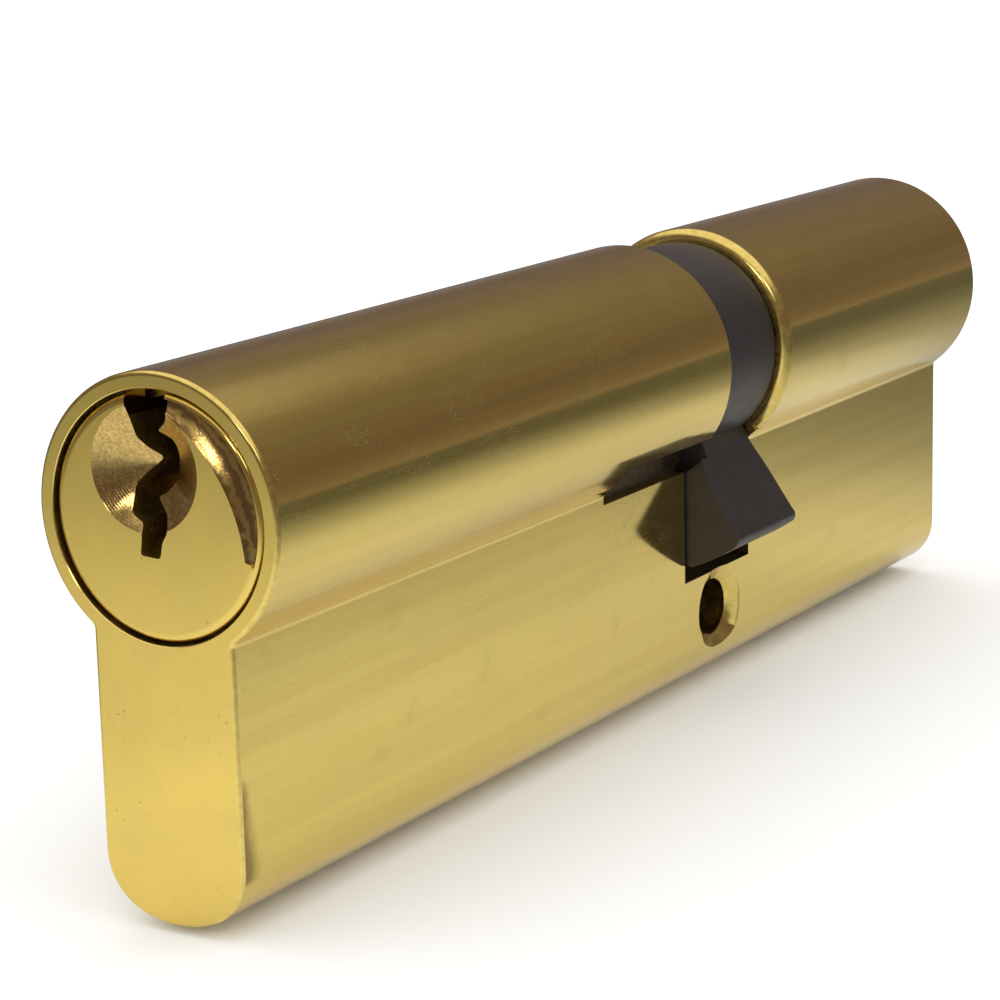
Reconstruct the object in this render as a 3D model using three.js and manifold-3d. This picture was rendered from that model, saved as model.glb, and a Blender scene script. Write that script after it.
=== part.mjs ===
// Euro-profile double lock cylinder, keyed on both sides, 60 mm front and 40 mm rear.
// Millimetres, +Z up, +Y along the cylinder from the front face to the rear face.
// The origin is the centre of the fixing-screw hole, on the middle plane of the web.
import * as THREE from "three";
import { mergeVertices } from "three/addons/utils/BufferGeometryUtils.js";
import Module from "manifold-3d";

const wasm = await Module();
wasm.setup();

// ---- Driving dimensions ----
const FRONT_LENGTH = 60;
const REAR_LENGTH = 40;
const PLUG_AXIS_Z = 18.8;
const HEAD_R = 8.5;
const OVERALL_HEIGHT = 33;
const WEB_WIDTH = 10;
const WEB_BOTTOM_R = 7;
const WEB_CORNER_R = 3.8;
const END_CHAMFER = 0.4;

// Fixing-screw hole, across the web
const SCREW_HOLE_R = 2.1;
const SCREW_SINK_R = 3.3;
const SCREW_SINK_DEPTH = 0.7;

// Gap for the cam: narrower through the head than through the web
const CAM_MID_Y = 0.1;
const HEAD_SLOT_HALF = 4.5;
const WEB_SLOT_Y = [-5.4, 4.8];
const WEB_SLOT_TOP = -7;
const WEB_SLOT_BOTTOM = -15.8;

// Relief milled under the head, beside the cam, on the +X side
const RELIEF_Y = [-17.2, -4];
const RELIEF_Z = [-7.55, -5];
const RELIEF_INNER_X = 4.3;
const RELIEF_INNER_R = 7.45;

// Plugs and their bores
const PLUG_R = 6.5;
const BORE_R = 6.65;
const FLANGE_R = 7.3;
const FLANGE_BORE_R = 7.5;
const FLANGE_THICKNESS = 2;
const FLANGE_BORE_DEPTH = 2.7;
const FACE_RECESS = 0.1;
const FACE_CHAMFER_WIDTH = 0.45;
const FACE_CHAMFER_DEPTH = 0.25;
const FUNNEL_R = 3.65;
const FUNNEL_DEPTH = 1.75;
const FUNNEL_CENTRE = [-0.8, 2.75];
const FRONT_KEYWAY_LENGTH = 33;

// Crescent groove in each plug's face, between an off-centre circle and one about the axis
const CRESCENT_CENTRE = [-4.4, -3];
const CRESCENT_INNER_R = 10.5;
const CRESCENT_OUTER_R = 7;
const CRESCENT_FULL_WIDTH = 1.7;
const CRESCENT_DEPTH = 0.8;
const CRESCENT_ANGLES = [-18, 90];

// Inner end of each plug, as distances from the cam's middle plane
const CIRCLIP_SEAT_R = 7.15;
const CIRCLIP_SEAT_END = 5.8;
const GROOVE_R = 5.55;
const GROOVE_SPAN = [4.8, 5.7];
const LAND_START = 4.45;
const LAND_R = 6.2;
const TAIL_START = 3.3;
const TAIL_R = 5;
const TAIL_END = 1;
const CLUTCH_SLOT_HALF_Z = 1.3;
const CLUTCH_SLOT_HALF_X = 4.75;
const CLUTCH_SLOT_FLOOR = 5.05;
const EAR_SLOT_FLOOR = 3.05;

// Circlips
const CIRCLIP_OUTER_R = 6.95;
const CIRCLIP_INNER_R = 5.75;
const CIRCLIP_SPAN = [4.9, 5.6];
const CIRCLIP_OPENING = 1.1;

// Cam
const CAM_R = 7.6;
const CAM_HALF_WIDTH = 4.2;
const CAM_CLEAR_R = 6.4;
const CAM_DRIVE_R = 5.15;
const CAM_DRIVE_HALF = 1.05;
const CAM_DRIVE_SLOT_HALF_Z = 1.35;
const CAM_DRIVE_SLOT_HALF_X = 6.3;
const TOOTH_Y = [-5.1, 4.3];
const TOOTH_HALF_THICKNESS = 2.4;
const TOOTH_TIP_R = 15.55;
const TOOTH_CORNER_R = 0.6;
const TOOTH_ANGLE = 28;
const TOOTH_OVERHANG_R = 9.1;

// Clutch halves and the push rod
const EAR_HALF_LENGTH = 6;
const BLOCK_HALF_LENGTH = 4.6;
const CLUTCH_HALF_Z = 1.2;
const EAR_THICKNESS = 1.4;
const BLOCK_LENGTH = 2;
const CLUTCH_TRAVEL = 1.95;
const ROD_R = 1.5;
const ROD_BORE_R = 1.7;
const ROD_BORE_LEAD = 2.5;
const ROD_GAP = 0.3;

// Pin stacks: six on each side, in the web under the plug
const PIN_COUNT = 6;
const PIN_PITCH = 4;
const FIRST_PIN_FROM_FACE = 6.5;
const PIN_R = 1.4;
const PIN_CHAMFER = 0.3;
const PLUG_PIN_HOLE_R = 1.52;
const PLUG_PIN_HOLE_TOP = 1.7;
const CHAMBER_R = 1.6;
const KEY_PIN_FOOT = -6.3;
const KEY_PIN_LENGTHS = [4.4, 5.6, 4.9, 6.1, 5.2, 4.7];
const KEY_PIN_TIP_R = 0.45;
const KEY_PIN_TIP_LENGTH = 0.9;
const DRIVER_TOP = -6.75;
const DRIVER_LENGTH = 5;
const CHAMBER_PLUG_R = 1.5;
const CHAMBER_PLUG_LENGTH = 3;
const CHAMBER_PLUG_RECESS = 0.3;
const SPRING_WIRE_R = 0.2;
const SPRING_COIL_R = 1.05;
const SPRING_TURNS = 4.5;
const SPRING_END_GAP = 0.3;

const ROUND = 44;
const SMALL_ROUND = 16;
const PIN_ROUND = 12;
const CUT = 1;

// ---- Materials ----
const FINISHES = {
  bodyBrass: { color: 0xb39a4e, roughness: 0.38, metalness: 1 },
  plugBrass: { color: 0xbfa24a, roughness: 0.24, metalness: 1 },
  pinBrass: { color: 0xb89a52, roughness: 0.35, metalness: 1 },
  sinteredSteel: { color: 0x3d3b3c, roughness: 0.62, metalness: 0.8 },
  springSteel: { color: 0xa8a8aa, roughness: 0.3, metalness: 1 },
  darkSpringSteel: { color: 0x4a4a4c, roughness: 0.45, metalness: 0.9 },
};

// ---- Solids and shapes ----
function toSolid(geometry) {
  const bare = geometry.clone();
  for (const name of Object.keys(bare.attributes)) {
    if (name !== "position") bare.deleteAttribute(name);
  }
  const merged = mergeVertices(bare, 1e-5);
  const vertProperties = new Float32Array(merged.attributes.position.array);
  const triVerts = new Uint32Array(merged.index.array);
  return new wasm.Manifold(new wasm.Mesh({ numProp: 3, vertProperties, triVerts }));
}

function toGeometry(solid) {
  const mesh = solid.getMesh();
  const geometry = new THREE.BufferGeometry();
  geometry.setAttribute("position", new THREE.BufferAttribute(mesh.vertProperties, 3));
  geometry.setIndex(new THREE.BufferAttribute(mesh.triVerts, 1));
  geometry.computeVertexNormals();
  return geometry;
}

function subtractAll(solid, cutters) {
  return cutters.reduce((rest, cutter) => rest.subtract(cutter), solid);
}

function addAll(solids) {
  return solids.reduce((sum, solid) => sum.add(solid));
}

function box([x0, x1], [y0, y1], [z0, z1]) {
  const geometry = new THREE.BoxGeometry(x1 - x0, y1 - y0, z1 - z0);
  return toSolid(geometry.translate((x0 + x1) / 2, (y0 + y1) / 2, (z0 + z1) / 2));
}

// A cylinder or cone along Y, between y0 and y1
function alongY(r0, r1, y0, y1, x = 0, z = 0, segments = ROUND) {
  const geometry = new THREE.CylinderGeometry(r1, r0, y1 - y0, segments);
  return toSolid(geometry.translate(x, (y0 + y1) / 2, z));
}

function alongZ(r, z0, z1, x, y, segments = SMALL_ROUND) {
  const geometry = new THREE.CylinderGeometry(r, r, z1 - z0, segments).rotateX(Math.PI / 2);
  return toSolid(geometry.translate(x, y, (z0 + z1) / 2));
}

// A cylinder or cone along X, between x0 and x1
function alongX(r0, r1, x0, x1, y, z, segments) {
  const geometry = new THREE.CylinderGeometry(r1, r0, x1 - x0, segments).rotateZ(-Math.PI / 2);
  return toSolid(geometry.translate((x0 + x1) / 2, y, z));
}

// An outline in the XZ plane, made into a prism along Y
function prismGeometry(points, y0, y1, chamfer = 0) {
  const geometry = new THREE.ExtrudeGeometry(new THREE.Shape(points), {
    depth: y1 - y0 - 2 * chamfer,
    steps: 1,
    bevelEnabled: chamfer > 0,
    bevelThickness: chamfer,
    bevelSize: chamfer,
    bevelOffset: -chamfer,
    bevelSegments: 1,
  });
  return geometry.rotateX(Math.PI / 2).translate(0, y1 - chamfer, 0);
}

function prism(points, y0, y1) {
  return toSolid(prismGeometry(points, y0, y1));
}

function arc(cx, cz, r, from, to, segments) {
  const points = [];
  for (let i = 0; i <= segments; i += 1) {
    const a = from + ((to - from) * i) / segments;
    points.push(new THREE.Vector2(cx + r * Math.cos(a), cz + r * Math.sin(a)));
  }
  return points;
}

// ---- Body ----
// Round head on a straight web; the web's foot is a flat arc between two tighter ones.
// All heights here are measured from the plug's axis.
function bodyOutline() {
  const half = WEB_WIDTH / 2;
  const neck = Math.asin(half / HEAD_R);
  const footZ = HEAD_R - OVERALL_HEIGHT;
  const footCentreZ = footZ + WEB_BOTTOM_R;
  const cornerX = half - WEB_CORNER_R;
  const cornerZ = footCentreZ - Math.sqrt((WEB_BOTTOM_R - WEB_CORNER_R) ** 2 - cornerX ** 2);
  const lean = Math.atan2(cornerX, footCentreZ - cornerZ);
  const down = -Math.PI / 2;
  return [
    ...arc(0, 0, HEAD_R, down + neck, 1.5 * Math.PI - neck, 44),
    ...arc(-cornerX, cornerZ, WEB_CORNER_R, -Math.PI, down - lean, 6),
    ...arc(0, footCentreZ, WEB_BOTTOM_R, down - lean, down + lean, 6).slice(1),
    ...arc(cornerX, cornerZ, WEB_CORNER_R, down + lean, 0, 6).slice(1),
  ];
}

function pinPlaces(faceY, inward) {
  return KEY_PIN_LENGTHS.map((_, i) => faceY + inward * (FIRST_PIN_FROM_FACE + i * PIN_PITCH));
}

// Everything cut for one plug, from its outer face at faceY to the cam gap
function plugBoreCuts(faceY, inward) {
  const slotY = CAM_MID_Y - inward * HEAD_SLOT_HALF;
  const seatY = CAM_MID_Y - inward * CIRCLIP_SEAT_END;
  const span = (a, b) => [Math.min(a, b), Math.max(a, b)];
  const bore = span(faceY - inward * CUT, slotY + inward * CUT);
  const mouth = span(faceY - inward * CUT, faceY + inward * FLANGE_BORE_DEPTH);
  const seat = span(seatY, slotY + inward * CUT);
  const footZ = HEAD_R - OVERALL_HEIGHT;
  return [
    alongY(BORE_R, BORE_R, ...bore),
    alongY(FLANGE_BORE_R, FLANGE_BORE_R, ...mouth),
    alongY(CIRCLIP_SEAT_R, CIRCLIP_SEAT_R, ...seat),
    ...pinPlaces(faceY, inward).map((y) => alongZ(CHAMBER_R, footZ - CUT, 0, 0, y)),
  ];
}

function screwHoleCuts() {
  const half = WEB_WIDTH / 2;
  const sink = half - SCREW_SINK_DEPTH;
  return [
    alongX(SCREW_HOLE_R, SCREW_HOLE_R, -half - CUT, half + CUT, 0, -PLUG_AXIS_Z, 24),
    alongX(SCREW_HOLE_R, SCREW_SINK_R, sink, half + 0.01, 0, -PLUG_AXIS_Z, 24),
    alongX(SCREW_SINK_R, SCREW_HOLE_R, -half - 0.01, -sink, 0, -PLUG_AXIS_Z, 24),
  ];
}

// The relief leaves a sleeve of body around the bore
function reliefCut() {
  const pocket = box([RELIEF_INNER_X, HEAD_R + CUT], RELIEF_Y, RELIEF_Z);
  const sleeve = alongY(RELIEF_INNER_R, RELIEF_INNER_R, RELIEF_Y[0] - CUT, RELIEF_Y[1] + CUT);
  return pocket.subtract(sleeve);
}

function bodySolid() {
  const wide = HEAD_R + CUT;
  const headSlot = [CAM_MID_Y - HEAD_SLOT_HALF, CAM_MID_Y + HEAD_SLOT_HALF];
  const blank = toSolid(prismGeometry(bodyOutline(), -FRONT_LENGTH, REAR_LENGTH, END_CHAMFER));
  return subtractAll(blank, [
    ...plugBoreCuts(-FRONT_LENGTH, 1),
    ...plugBoreCuts(REAR_LENGTH, -1),
    box([-wide, wide], headSlot, [WEB_SLOT_TOP - CUT, wide]),
    box([-wide, wide], WEB_SLOT_Y, [WEB_SLOT_BOTTOM, WEB_SLOT_TOP]),
    reliefCut(),
    ...screwHoleCuts(),
  ]);
}

// ---- Plugs ----
// A plug is drawn with its outer face at y = 0 and its tail towards +Y.

// Section of the keyway: open at the top, with wards reaching in from both sides
const KEYWAY_SECTION = [
  [-2.05, 7.9], [-1.9, 5.5], [-1.9, 4.4], [-1.35, 3.7], [-0.55, 3.2], [-1.5, 2.4],
  [-2.15, 1.65], [-2.15, 0.95], [-2.1, 0.05], [-1.65, -0.25], [-1.2, -0.45],
  [-1.15, -1.15], [-1.3, -2.3], [0.1, -2.4], [0.3, -1.4], [0.7, -0.8],
  [0.4, 0.15], [-0.15, 0.6], [-0.6, 1], [-0.05, 1.25], [0.85, 2.1],
  [1, 2.75], [1.2, 3.45], [1.2, 3.95], [0.9, 4.5], [0.35, 4.7],
  [-0.25, 4.9], [0.6, 5.5], [0.95, 6], [0.85, 7.9],
].map(([x, z]) => new THREE.Vector2(x, z));

// A closed body through convex rings with the same number of points
function loft(rings) {
  const count = rings[0].length;
  const last = (rings.length - 1) * count;
  const index = [];
  for (let i = 0; i < count; i += 1) {
    const j = (i + 1) % count;
    if (i > 0 && j > 0) index.push(0, i, j, last, last + j, last + i);
    for (let a = 0; a < last; a += count) {
      const b = a + count;
      index.push(a + i, b + i, b + j, a + i, b + j, a + j);
    }
  }
  const geometry = new THREE.BufferGeometry().setFromPoints(rings.flat());
  geometry.setIndex(index);
  return toSolid(geometry);
}

// The crescent falls away outwards, steeply at first, and ends bluntly at its lower end
function crescentCut() {
  const centre = new THREE.Vector2(...CRESCENT_CENTRE);
  const [from, to] = CRESCENT_ANGLES.map(THREE.MathUtils.degToRad);
  const steps = 14;
  const rings = [];
  for (let k = 0; k <= steps; k += 1) {
    const angle = from + ((to - from) * k) / steps;
    const out = new THREE.Vector2(Math.cos(angle), Math.sin(angle));
    const along = centre.dot(out);
    const inner = along + Math.sqrt(along ** 2 - centre.lengthSq() + CRESCENT_INNER_R ** 2);
    const width = CRESCENT_OUTER_R - inner;
    const depth = CRESCENT_DEPTH * Math.min(1, width / CRESCENT_FULL_WIDTH);
    const section = [
      [inner, -CUT], [inner, 0], [inner + width / 2, depth * 0.65],
      [CRESCENT_OUTER_R, depth], [CRESCENT_OUTER_R, -CUT],
    ];
    rings.push(section.map(([r, y]) => new THREE.Vector3(out.x * r, y, out.y * r)));
  }
  return loft(rings);
}

function flange() {
  const faceR = FLANGE_R - FACE_CHAMFER_WIDTH;
  return wasm.Manifold.hull([
    alongY(faceR, faceR, 0, FLANGE_THICKNESS),
    alongY(FLANGE_R, FLANGE_R, FACE_CHAMFER_DEPTH, FLANGE_THICKNESS),
  ]);
}

// midDistance is the way from the plug's outer face to the cam's middle plane
function plugBlank(midDistance) {
  const at = (distance) => midDistance - distance;
  return addAll([
    flange().subtract(crescentCut()),
    alongY(PLUG_R, PLUG_R, FLANGE_THICKNESS - 0.1, at(GROOVE_SPAN[1])),
    alongY(GROOVE_R, GROOVE_R, at(GROOVE_SPAN[1]) - CUT, at(GROOVE_SPAN[0]) + 0.1),
    alongY(PLUG_R, PLUG_R, at(GROOVE_SPAN[0]), at(LAND_START)),
    alongY(LAND_R, LAND_R, at(LAND_START) - 0.1, at(TAIL_START)),
    alongY(TAIL_R, TAIL_R, at(TAIL_START) - CUT, at(TAIL_END)),
  ]);
}

function clutchSlotCuts(midDistance) {
  const floor = midDistance - CLUTCH_SLOT_FLOOR;
  const end = midDistance;
  const high = [-CLUTCH_SLOT_HALF_Z, CLUTCH_SLOT_HALF_Z];
  return [
    box([-CLUTCH_SLOT_HALF_X, CLUTCH_SLOT_HALF_X], [floor, end], high),
    box([-LAND_R, LAND_R], [midDistance - EAR_SLOT_FLOOR, end], high),
  ];
}

function plugSolid(midDistance, keywayLength, rodBore) {
  const pinHoles = pinPlaces(-FACE_RECESS, 1).map((y) =>
    alongZ(PLUG_PIN_HOLE_R, -PLUG_R - CUT, PLUG_PIN_HOLE_TOP, 0, y));
  const [funnelX, funnelZ] = FUNNEL_CENTRE;
  const plug = subtractAll(plugBlank(midDistance), [
    prism(KEYWAY_SECTION, -CUT, keywayLength),
    alongY(FUNNEL_R, 0.3, -0.01, FUNNEL_DEPTH, funnelX, funnelZ, 32),
    ...pinHoles,
    ...clutchSlotCuts(midDistance),
  ]);
  if (!rodBore) return plug;
  const boreStart = keywayLength - ROD_BORE_LEAD;
  return plug.subtract(alongY(ROD_BORE_R, ROD_BORE_R, boreStart, midDistance, 0, 0, 24));
}

// An open ring, its opening upwards, between two distances from the cam's middle plane
function circlipGeometry() {
  const half = CIRCLIP_OPENING / 2;
  const top = Math.PI / 2;
  const outline = [
    ...arc(0, 0, CIRCLIP_OUTER_R, top + half, top + 2 * Math.PI - half, 30),
    ...arc(0, 0, CIRCLIP_INNER_R, top + 2 * Math.PI - half, top + half, 30),
  ];
  return prismGeometry(outline, ...CIRCLIP_SPAN);
}

// ---- Cam ----
// The tooth points straight down here and is turned TOOTH_ANGLE degrees about the plug's axis
function toothOutline() {
  const half = TOOTH_HALF_THICKNESS;
  const r = TOOTH_CORNER_R;
  const cornerX = half - r;
  const cornerZ = -Math.sqrt((TOOTH_TIP_R - r) ** 2 - cornerX ** 2);
  const lean = Math.atan2(cornerX, -cornerZ);
  const down = -Math.PI / 2;
  return [
    new THREE.Vector2(half, -TAIL_R),
    new THREE.Vector2(-half, -TAIL_R),
    ...arc(-cornerX, cornerZ, r, -Math.PI, down - lean, 4),
    ...arc(0, 0, TOOTH_TIP_R, down - lean, down + lean, 5).slice(1),
    ...arc(cornerX, cornerZ, r, down + lean, 0, 4).slice(1),
  ];
}

function camSolid() {
  const y0 = CAM_MID_Y - CAM_HALF_WIDTH;
  const y1 = CAM_MID_Y + CAM_HALF_WIDTH;
  const driveSlotX = [-CAM_DRIVE_SLOT_HALF_X, CAM_DRIVE_SLOT_HALF_X];
  const driveSlotZ = [-CAM_DRIVE_SLOT_HALF_Z, CAM_DRIVE_SLOT_HALF_Z];
  const driveY = [CAM_MID_Y - CAM_DRIVE_HALF, CAM_MID_Y + CAM_DRIVE_HALF];
  const overhang = alongY(TOOTH_OVERHANG_R, TOOTH_OVERHANG_R, TOOTH_Y[0] - CUT, y0);
  const tooth = prism(toothOutline(), ...TOOTH_Y).rotate([0, -TOOTH_ANGLE, 0]);
  return subtractAll(alongY(CAM_R, CAM_R, y0, y1).add(tooth), [
    overhang,
    alongY(CAM_DRIVE_R, CAM_DRIVE_R, y0 - CUT, y1 + CUT),
    alongY(CAM_CLEAR_R, CAM_CLEAR_R, y0 - CUT, driveY[0]),
    alongY(CAM_CLEAR_R, CAM_CLEAR_R, driveY[1], y1 + CUT),
    box(driveSlotX, driveY, driveSlotZ),
  ]);
}

// ---- Clutch ----
// One half, engaged: its ears lie on the cam's middle plane and its block towards -Y
function clutchSolid() {
  const ear = EAR_THICKNESS / 2;
  const high = [-CLUTCH_HALF_Z, CLUTCH_HALF_Z];
  const ears = box([-EAR_HALF_LENGTH, EAR_HALF_LENGTH], [-ear, ear], high);
  const block = box([-BLOCK_HALF_LENGTH, BLOCK_HALF_LENGTH], [-ear - BLOCK_LENGTH, 0], high);
  return ears.add(block);
}

// ---- Pin stacks ----
// A turned piece about Z, from [radius, height] points
function turned(profile) {
  const points = profile.map(([r, z]) => new THREE.Vector2(r, z));
  return new THREE.LatheGeometry(points, PIN_ROUND).rotateX(Math.PI / 2);
}

function keyPinGeometry(length) {
  const z0 = KEY_PIN_FOOT;
  const z1 = z0 + length;
  return turned([
    [0, z0], [PIN_R - PIN_CHAMFER, z0], [PIN_R, z0 + PIN_CHAMFER],
    [PIN_R, z1 - KEY_PIN_TIP_LENGTH], [KEY_PIN_TIP_R, z1], [0, z1],
  ]);
}

function driverPinGeometry() {
  const z1 = DRIVER_TOP;
  const z0 = z1 - DRIVER_LENGTH;
  return turned([
    [0, z0], [PIN_R - PIN_CHAMFER, z0], [PIN_R, z0 + PIN_CHAMFER],
    [PIN_R, z1 - PIN_CHAMFER], [PIN_R - PIN_CHAMFER, z1], [0, z1],
  ]);
}

function chamberPlugGeometry() {
  const z0 = HEAD_R - OVERALL_HEIGHT + CHAMBER_PLUG_RECESS;
  const z1 = z0 + CHAMBER_PLUG_LENGTH;
  return turned([
    [0, z0], [CHAMBER_PLUG_R, z0], [CHAMBER_PLUG_R, z1 - PIN_CHAMFER],
    [CHAMBER_PLUG_R - PIN_CHAMFER, z1], [0, z1],
  ]);
}

class CoilCurve extends THREE.Curve {
  constructor(radius, turns, z0, z1) {
    super();
    Object.assign(this, { radius, turns, z0, z1 });
  }

  getPoint(t, target = new THREE.Vector3()) {
    const a = 2 * Math.PI * this.turns * t;
    const z = this.z0 + (this.z1 - this.z0) * t;
    return target.set(this.radius * Math.cos(a), this.radius * Math.sin(a), z);
  }
}

function springGeometry() {
  const chamberPlugTop = HEAD_R - OVERALL_HEIGHT + CHAMBER_PLUG_RECESS + CHAMBER_PLUG_LENGTH;
  const margin = SPRING_END_GAP + SPRING_WIRE_R;
  const z0 = chamberPlugTop + margin;
  const z1 = DRIVER_TOP - DRIVER_LENGTH - margin;
  const wire = new THREE.Shape(arc(0, 0, SPRING_WIRE_R, 0, 2 * Math.PI, 4).slice(1));
  return new THREE.ExtrudeGeometry(wire, {
    steps: SPRING_TURNS * 8,
    extrudePath: new CoilCurve(SPRING_COIL_R, SPRING_TURNS, z0, z1),
  });
}

// ---- Assembly ----
function piece(name, geometry, finish) {
  const material = new THREE.MeshStandardMaterial({ ...FINISHES[finish], flatShading: true });
  const mesh = new THREE.Mesh(geometry, material);
  mesh.name = name;
  return mesh;
}

// The six pin stacks of one side, each a key pin, a driver pin, a spring and a chamber plug
function pinStacks(side, faceY, inward) {
  const group = new THREE.Group();
  pinPlaces(faceY, inward).forEach((y, i) => {
    const stack = new THREE.Group();
    const n = i + 1;
    stack.position.y = y;
    stack.add(piece(`${side}_key_pin_${n}`, keyPinGeometry(KEY_PIN_LENGTHS[i]), "pinBrass"));
    stack.add(piece(`${side}_driver_pin_${n}`, driverPinGeometry(), "pinBrass"));
    stack.add(piece(`${side}_pin_spring_${n}`, springGeometry(), "springSteel"));
    stack.add(piece(`${side}_chamber_plug_${n}`, chamberPlugGeometry(), "bodyBrass"));
    group.add(stack);
  });
  return group;
}

const midFront = FRONT_LENGTH - FACE_RECESS + CAM_MID_Y;
const midRear = REAR_LENGTH - FACE_RECESS - CAM_MID_Y;
const rearKeywayLength = midRear - CLUTCH_SLOT_FLOOR;

const frontPlug = piece(
  "plug_front", toGeometry(plugSolid(midFront, FRONT_KEYWAY_LENGTH, true)), "plugBrass");
frontPlug.position.y = -FRONT_LENGTH + FACE_RECESS;

const rearPlug = piece(
  "plug_rear", toGeometry(plugSolid(midRear, rearKeywayLength, false)), "plugBrass");
rearPlug.position.y = REAR_LENGTH - FACE_RECESS;
rearPlug.rotation.z = Math.PI;

const frontCirclip = piece("circlip_front", circlipGeometry(), "darkSpringSteel");
frontCirclip.position.y = CAM_MID_Y;
frontCirclip.rotation.z = Math.PI;

const rearCirclip = piece("circlip_rear", circlipGeometry(), "darkSpringSteel");
rearCirclip.position.y = CAM_MID_Y;

const frontClutch = piece("clutch_half_front", toGeometry(clutchSolid()), "sinteredSteel");
frontClutch.position.y = CAM_MID_Y;

const rearClutch = piece("clutch_half_rear", toGeometry(clutchSolid()), "sinteredSteel");
rearClutch.position.y = CAM_MID_Y + CLUTCH_TRAVEL;
rearClutch.rotation.z = Math.PI;

const rodInnerEnd = CAM_MID_Y - EAR_THICKNESS / 2 - BLOCK_LENGTH - ROD_GAP;
const rodOuterEnd = -FRONT_LENGTH + FACE_RECESS + FRONT_KEYWAY_LENGTH + ROD_GAP;
const pushRod = piece(
  "push_rod", toGeometry(alongY(ROD_R, ROD_R, rodOuterEnd, rodInnerEnd, 0, 0, 20)), "springSteel");

const mechanism = new THREE.Group();
mechanism.position.z = PLUG_AXIS_Z;
mechanism.add(
  piece("body", toGeometry(bodySolid()), "bodyBrass"),
  frontPlug,
  rearPlug,
  frontCirclip,
  rearCirclip,
  piece("cam", toGeometry(camSolid()), "sinteredSteel"),
  frontClutch,
  rearClutch,
  pushRod,
  pinStacks("front", -FRONT_LENGTH, 1),
  pinStacks("rear", REAR_LENGTH, -1),
);

const lockCylinder = new THREE.Group();
lockCylinder.name = "lock_cylinder";
lockCylinder.add(mechanism);

export default lockCylinder;
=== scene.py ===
"""Euro-profile double lock cylinder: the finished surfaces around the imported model.

Shapes are worked out in millimetres about the plug's axis and written to the meshes in metres,
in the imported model's own frame.
"""
import math
import random

import bmesh
import bpy
from mathutils import Matrix, Vector


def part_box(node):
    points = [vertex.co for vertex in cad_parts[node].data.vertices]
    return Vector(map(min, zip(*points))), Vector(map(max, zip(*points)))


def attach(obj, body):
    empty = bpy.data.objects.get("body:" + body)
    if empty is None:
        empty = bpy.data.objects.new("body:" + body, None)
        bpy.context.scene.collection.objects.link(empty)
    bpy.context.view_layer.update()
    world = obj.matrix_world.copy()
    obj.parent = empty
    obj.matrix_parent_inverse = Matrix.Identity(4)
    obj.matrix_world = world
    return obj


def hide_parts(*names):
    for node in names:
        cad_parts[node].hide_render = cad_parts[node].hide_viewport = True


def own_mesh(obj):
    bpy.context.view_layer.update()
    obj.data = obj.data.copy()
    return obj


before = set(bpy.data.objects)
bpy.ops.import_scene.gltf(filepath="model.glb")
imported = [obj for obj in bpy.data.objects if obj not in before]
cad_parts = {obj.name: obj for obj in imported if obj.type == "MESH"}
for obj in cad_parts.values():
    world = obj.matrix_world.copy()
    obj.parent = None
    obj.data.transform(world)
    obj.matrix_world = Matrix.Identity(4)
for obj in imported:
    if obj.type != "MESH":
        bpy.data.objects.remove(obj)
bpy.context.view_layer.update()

MM = 0.001
body_low, body_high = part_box("body")

# ---- Sizes, in millimetres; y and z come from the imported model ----
HEAD_R = (body_high.x - body_low.x) / 2 / MM
FRONT_Y = body_low.y / MM
REAR_Y = body_high.y / MM
HEIGHT = (body_high.z - body_low.z) / MM
AXIS_Z = body_high.z / MM - HEAD_R
FOOT_Z = HEAD_R - HEIGHT
WEB_HALF = 5.0
WEB_BOTTOM_R = 7.0
WEB_CORNER_R = 3.8
NECK_FILLET = 0.5
END_ROUND = 0.3

CAM_MID_Y = 0.1
HEAD_SLOT_HALF = 4.5
WEB_SLOT_Y = (-5.4, 4.8)
WEB_SLOT_TOP = -7.0
WEB_SLOT_BOTTOM = -15.8
SLOT_ROUND_REAR = 0.75
SLOT_ROUND_FRONT = 0.3
SLOT_ROUND_HALF_SPAN = math.radians(137)

RELIEF_Y = (-17.2, -4.0)
RELIEF_Z = (-7.55, -5.0)
RELIEF_INNER_X = 4.3
RELIEF_INNER_R = 7.45

THREAD_MINOR_R = 2.1
THREAD_MAJOR_R = 2.4
THREAD_PITCH = 0.8
THREAD_REACH = 2.8
SCREW_SINK_R = 3.3
SCREW_SINK_DEPTH = 0.7

PLUG_R = 6.5
BORE_R = 6.65
FLANGE_R = 7.3
FLANGE_BORE_R = 7.5
FLANGE_THICKNESS = 2.0
FLANGE_BORE_DEPTH = 2.7
FACE_RECESS = 0.1
FACE_ROUND = (0.55, 0.3)
CRESCENT_CENTRE = (-4.4, -3.0)
CRESCENT_INNER_R = 10.5
CRESCENT_OUTER_R = 7.0
CRESCENT_SPAN = (math.radians(-18), math.radians(90))
CRESCENT_DEPTH = 0.8
CRESCENT_FULL_WIDTH = 1.7
CRESCENT_LEAST_WIDTH = 0.03
FUNNEL_R = 3.65
FUNNEL_DEPTH = 1.75
FUNNEL_CENTRE = (-0.8, 2.75)
FUNNEL_TIP_R = 0.3
FUNNEL_LIP = 0.12
KEYWAY_LENGTH = 33.0
KEYWAY_CORNER_R = 0.22

SEAT_R = 7.15
SEAT_END = 5.8
GROOVE_R = 5.55
GROOVE_SPAN = (4.8, 5.7)
LAND_START = 4.45
LAND_R = 6.2
TAIL_START = 3.3
TAIL_R = 5.0
TAIL_END = 1.0
CLUTCH_SLOT_HALF_Z = 1.3
CLUTCH_SLOT_HALF_X = 4.75
CLUTCH_SLOT_FLOOR = 5.05
EAR_SLOT_FLOOR = 3.05

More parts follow.
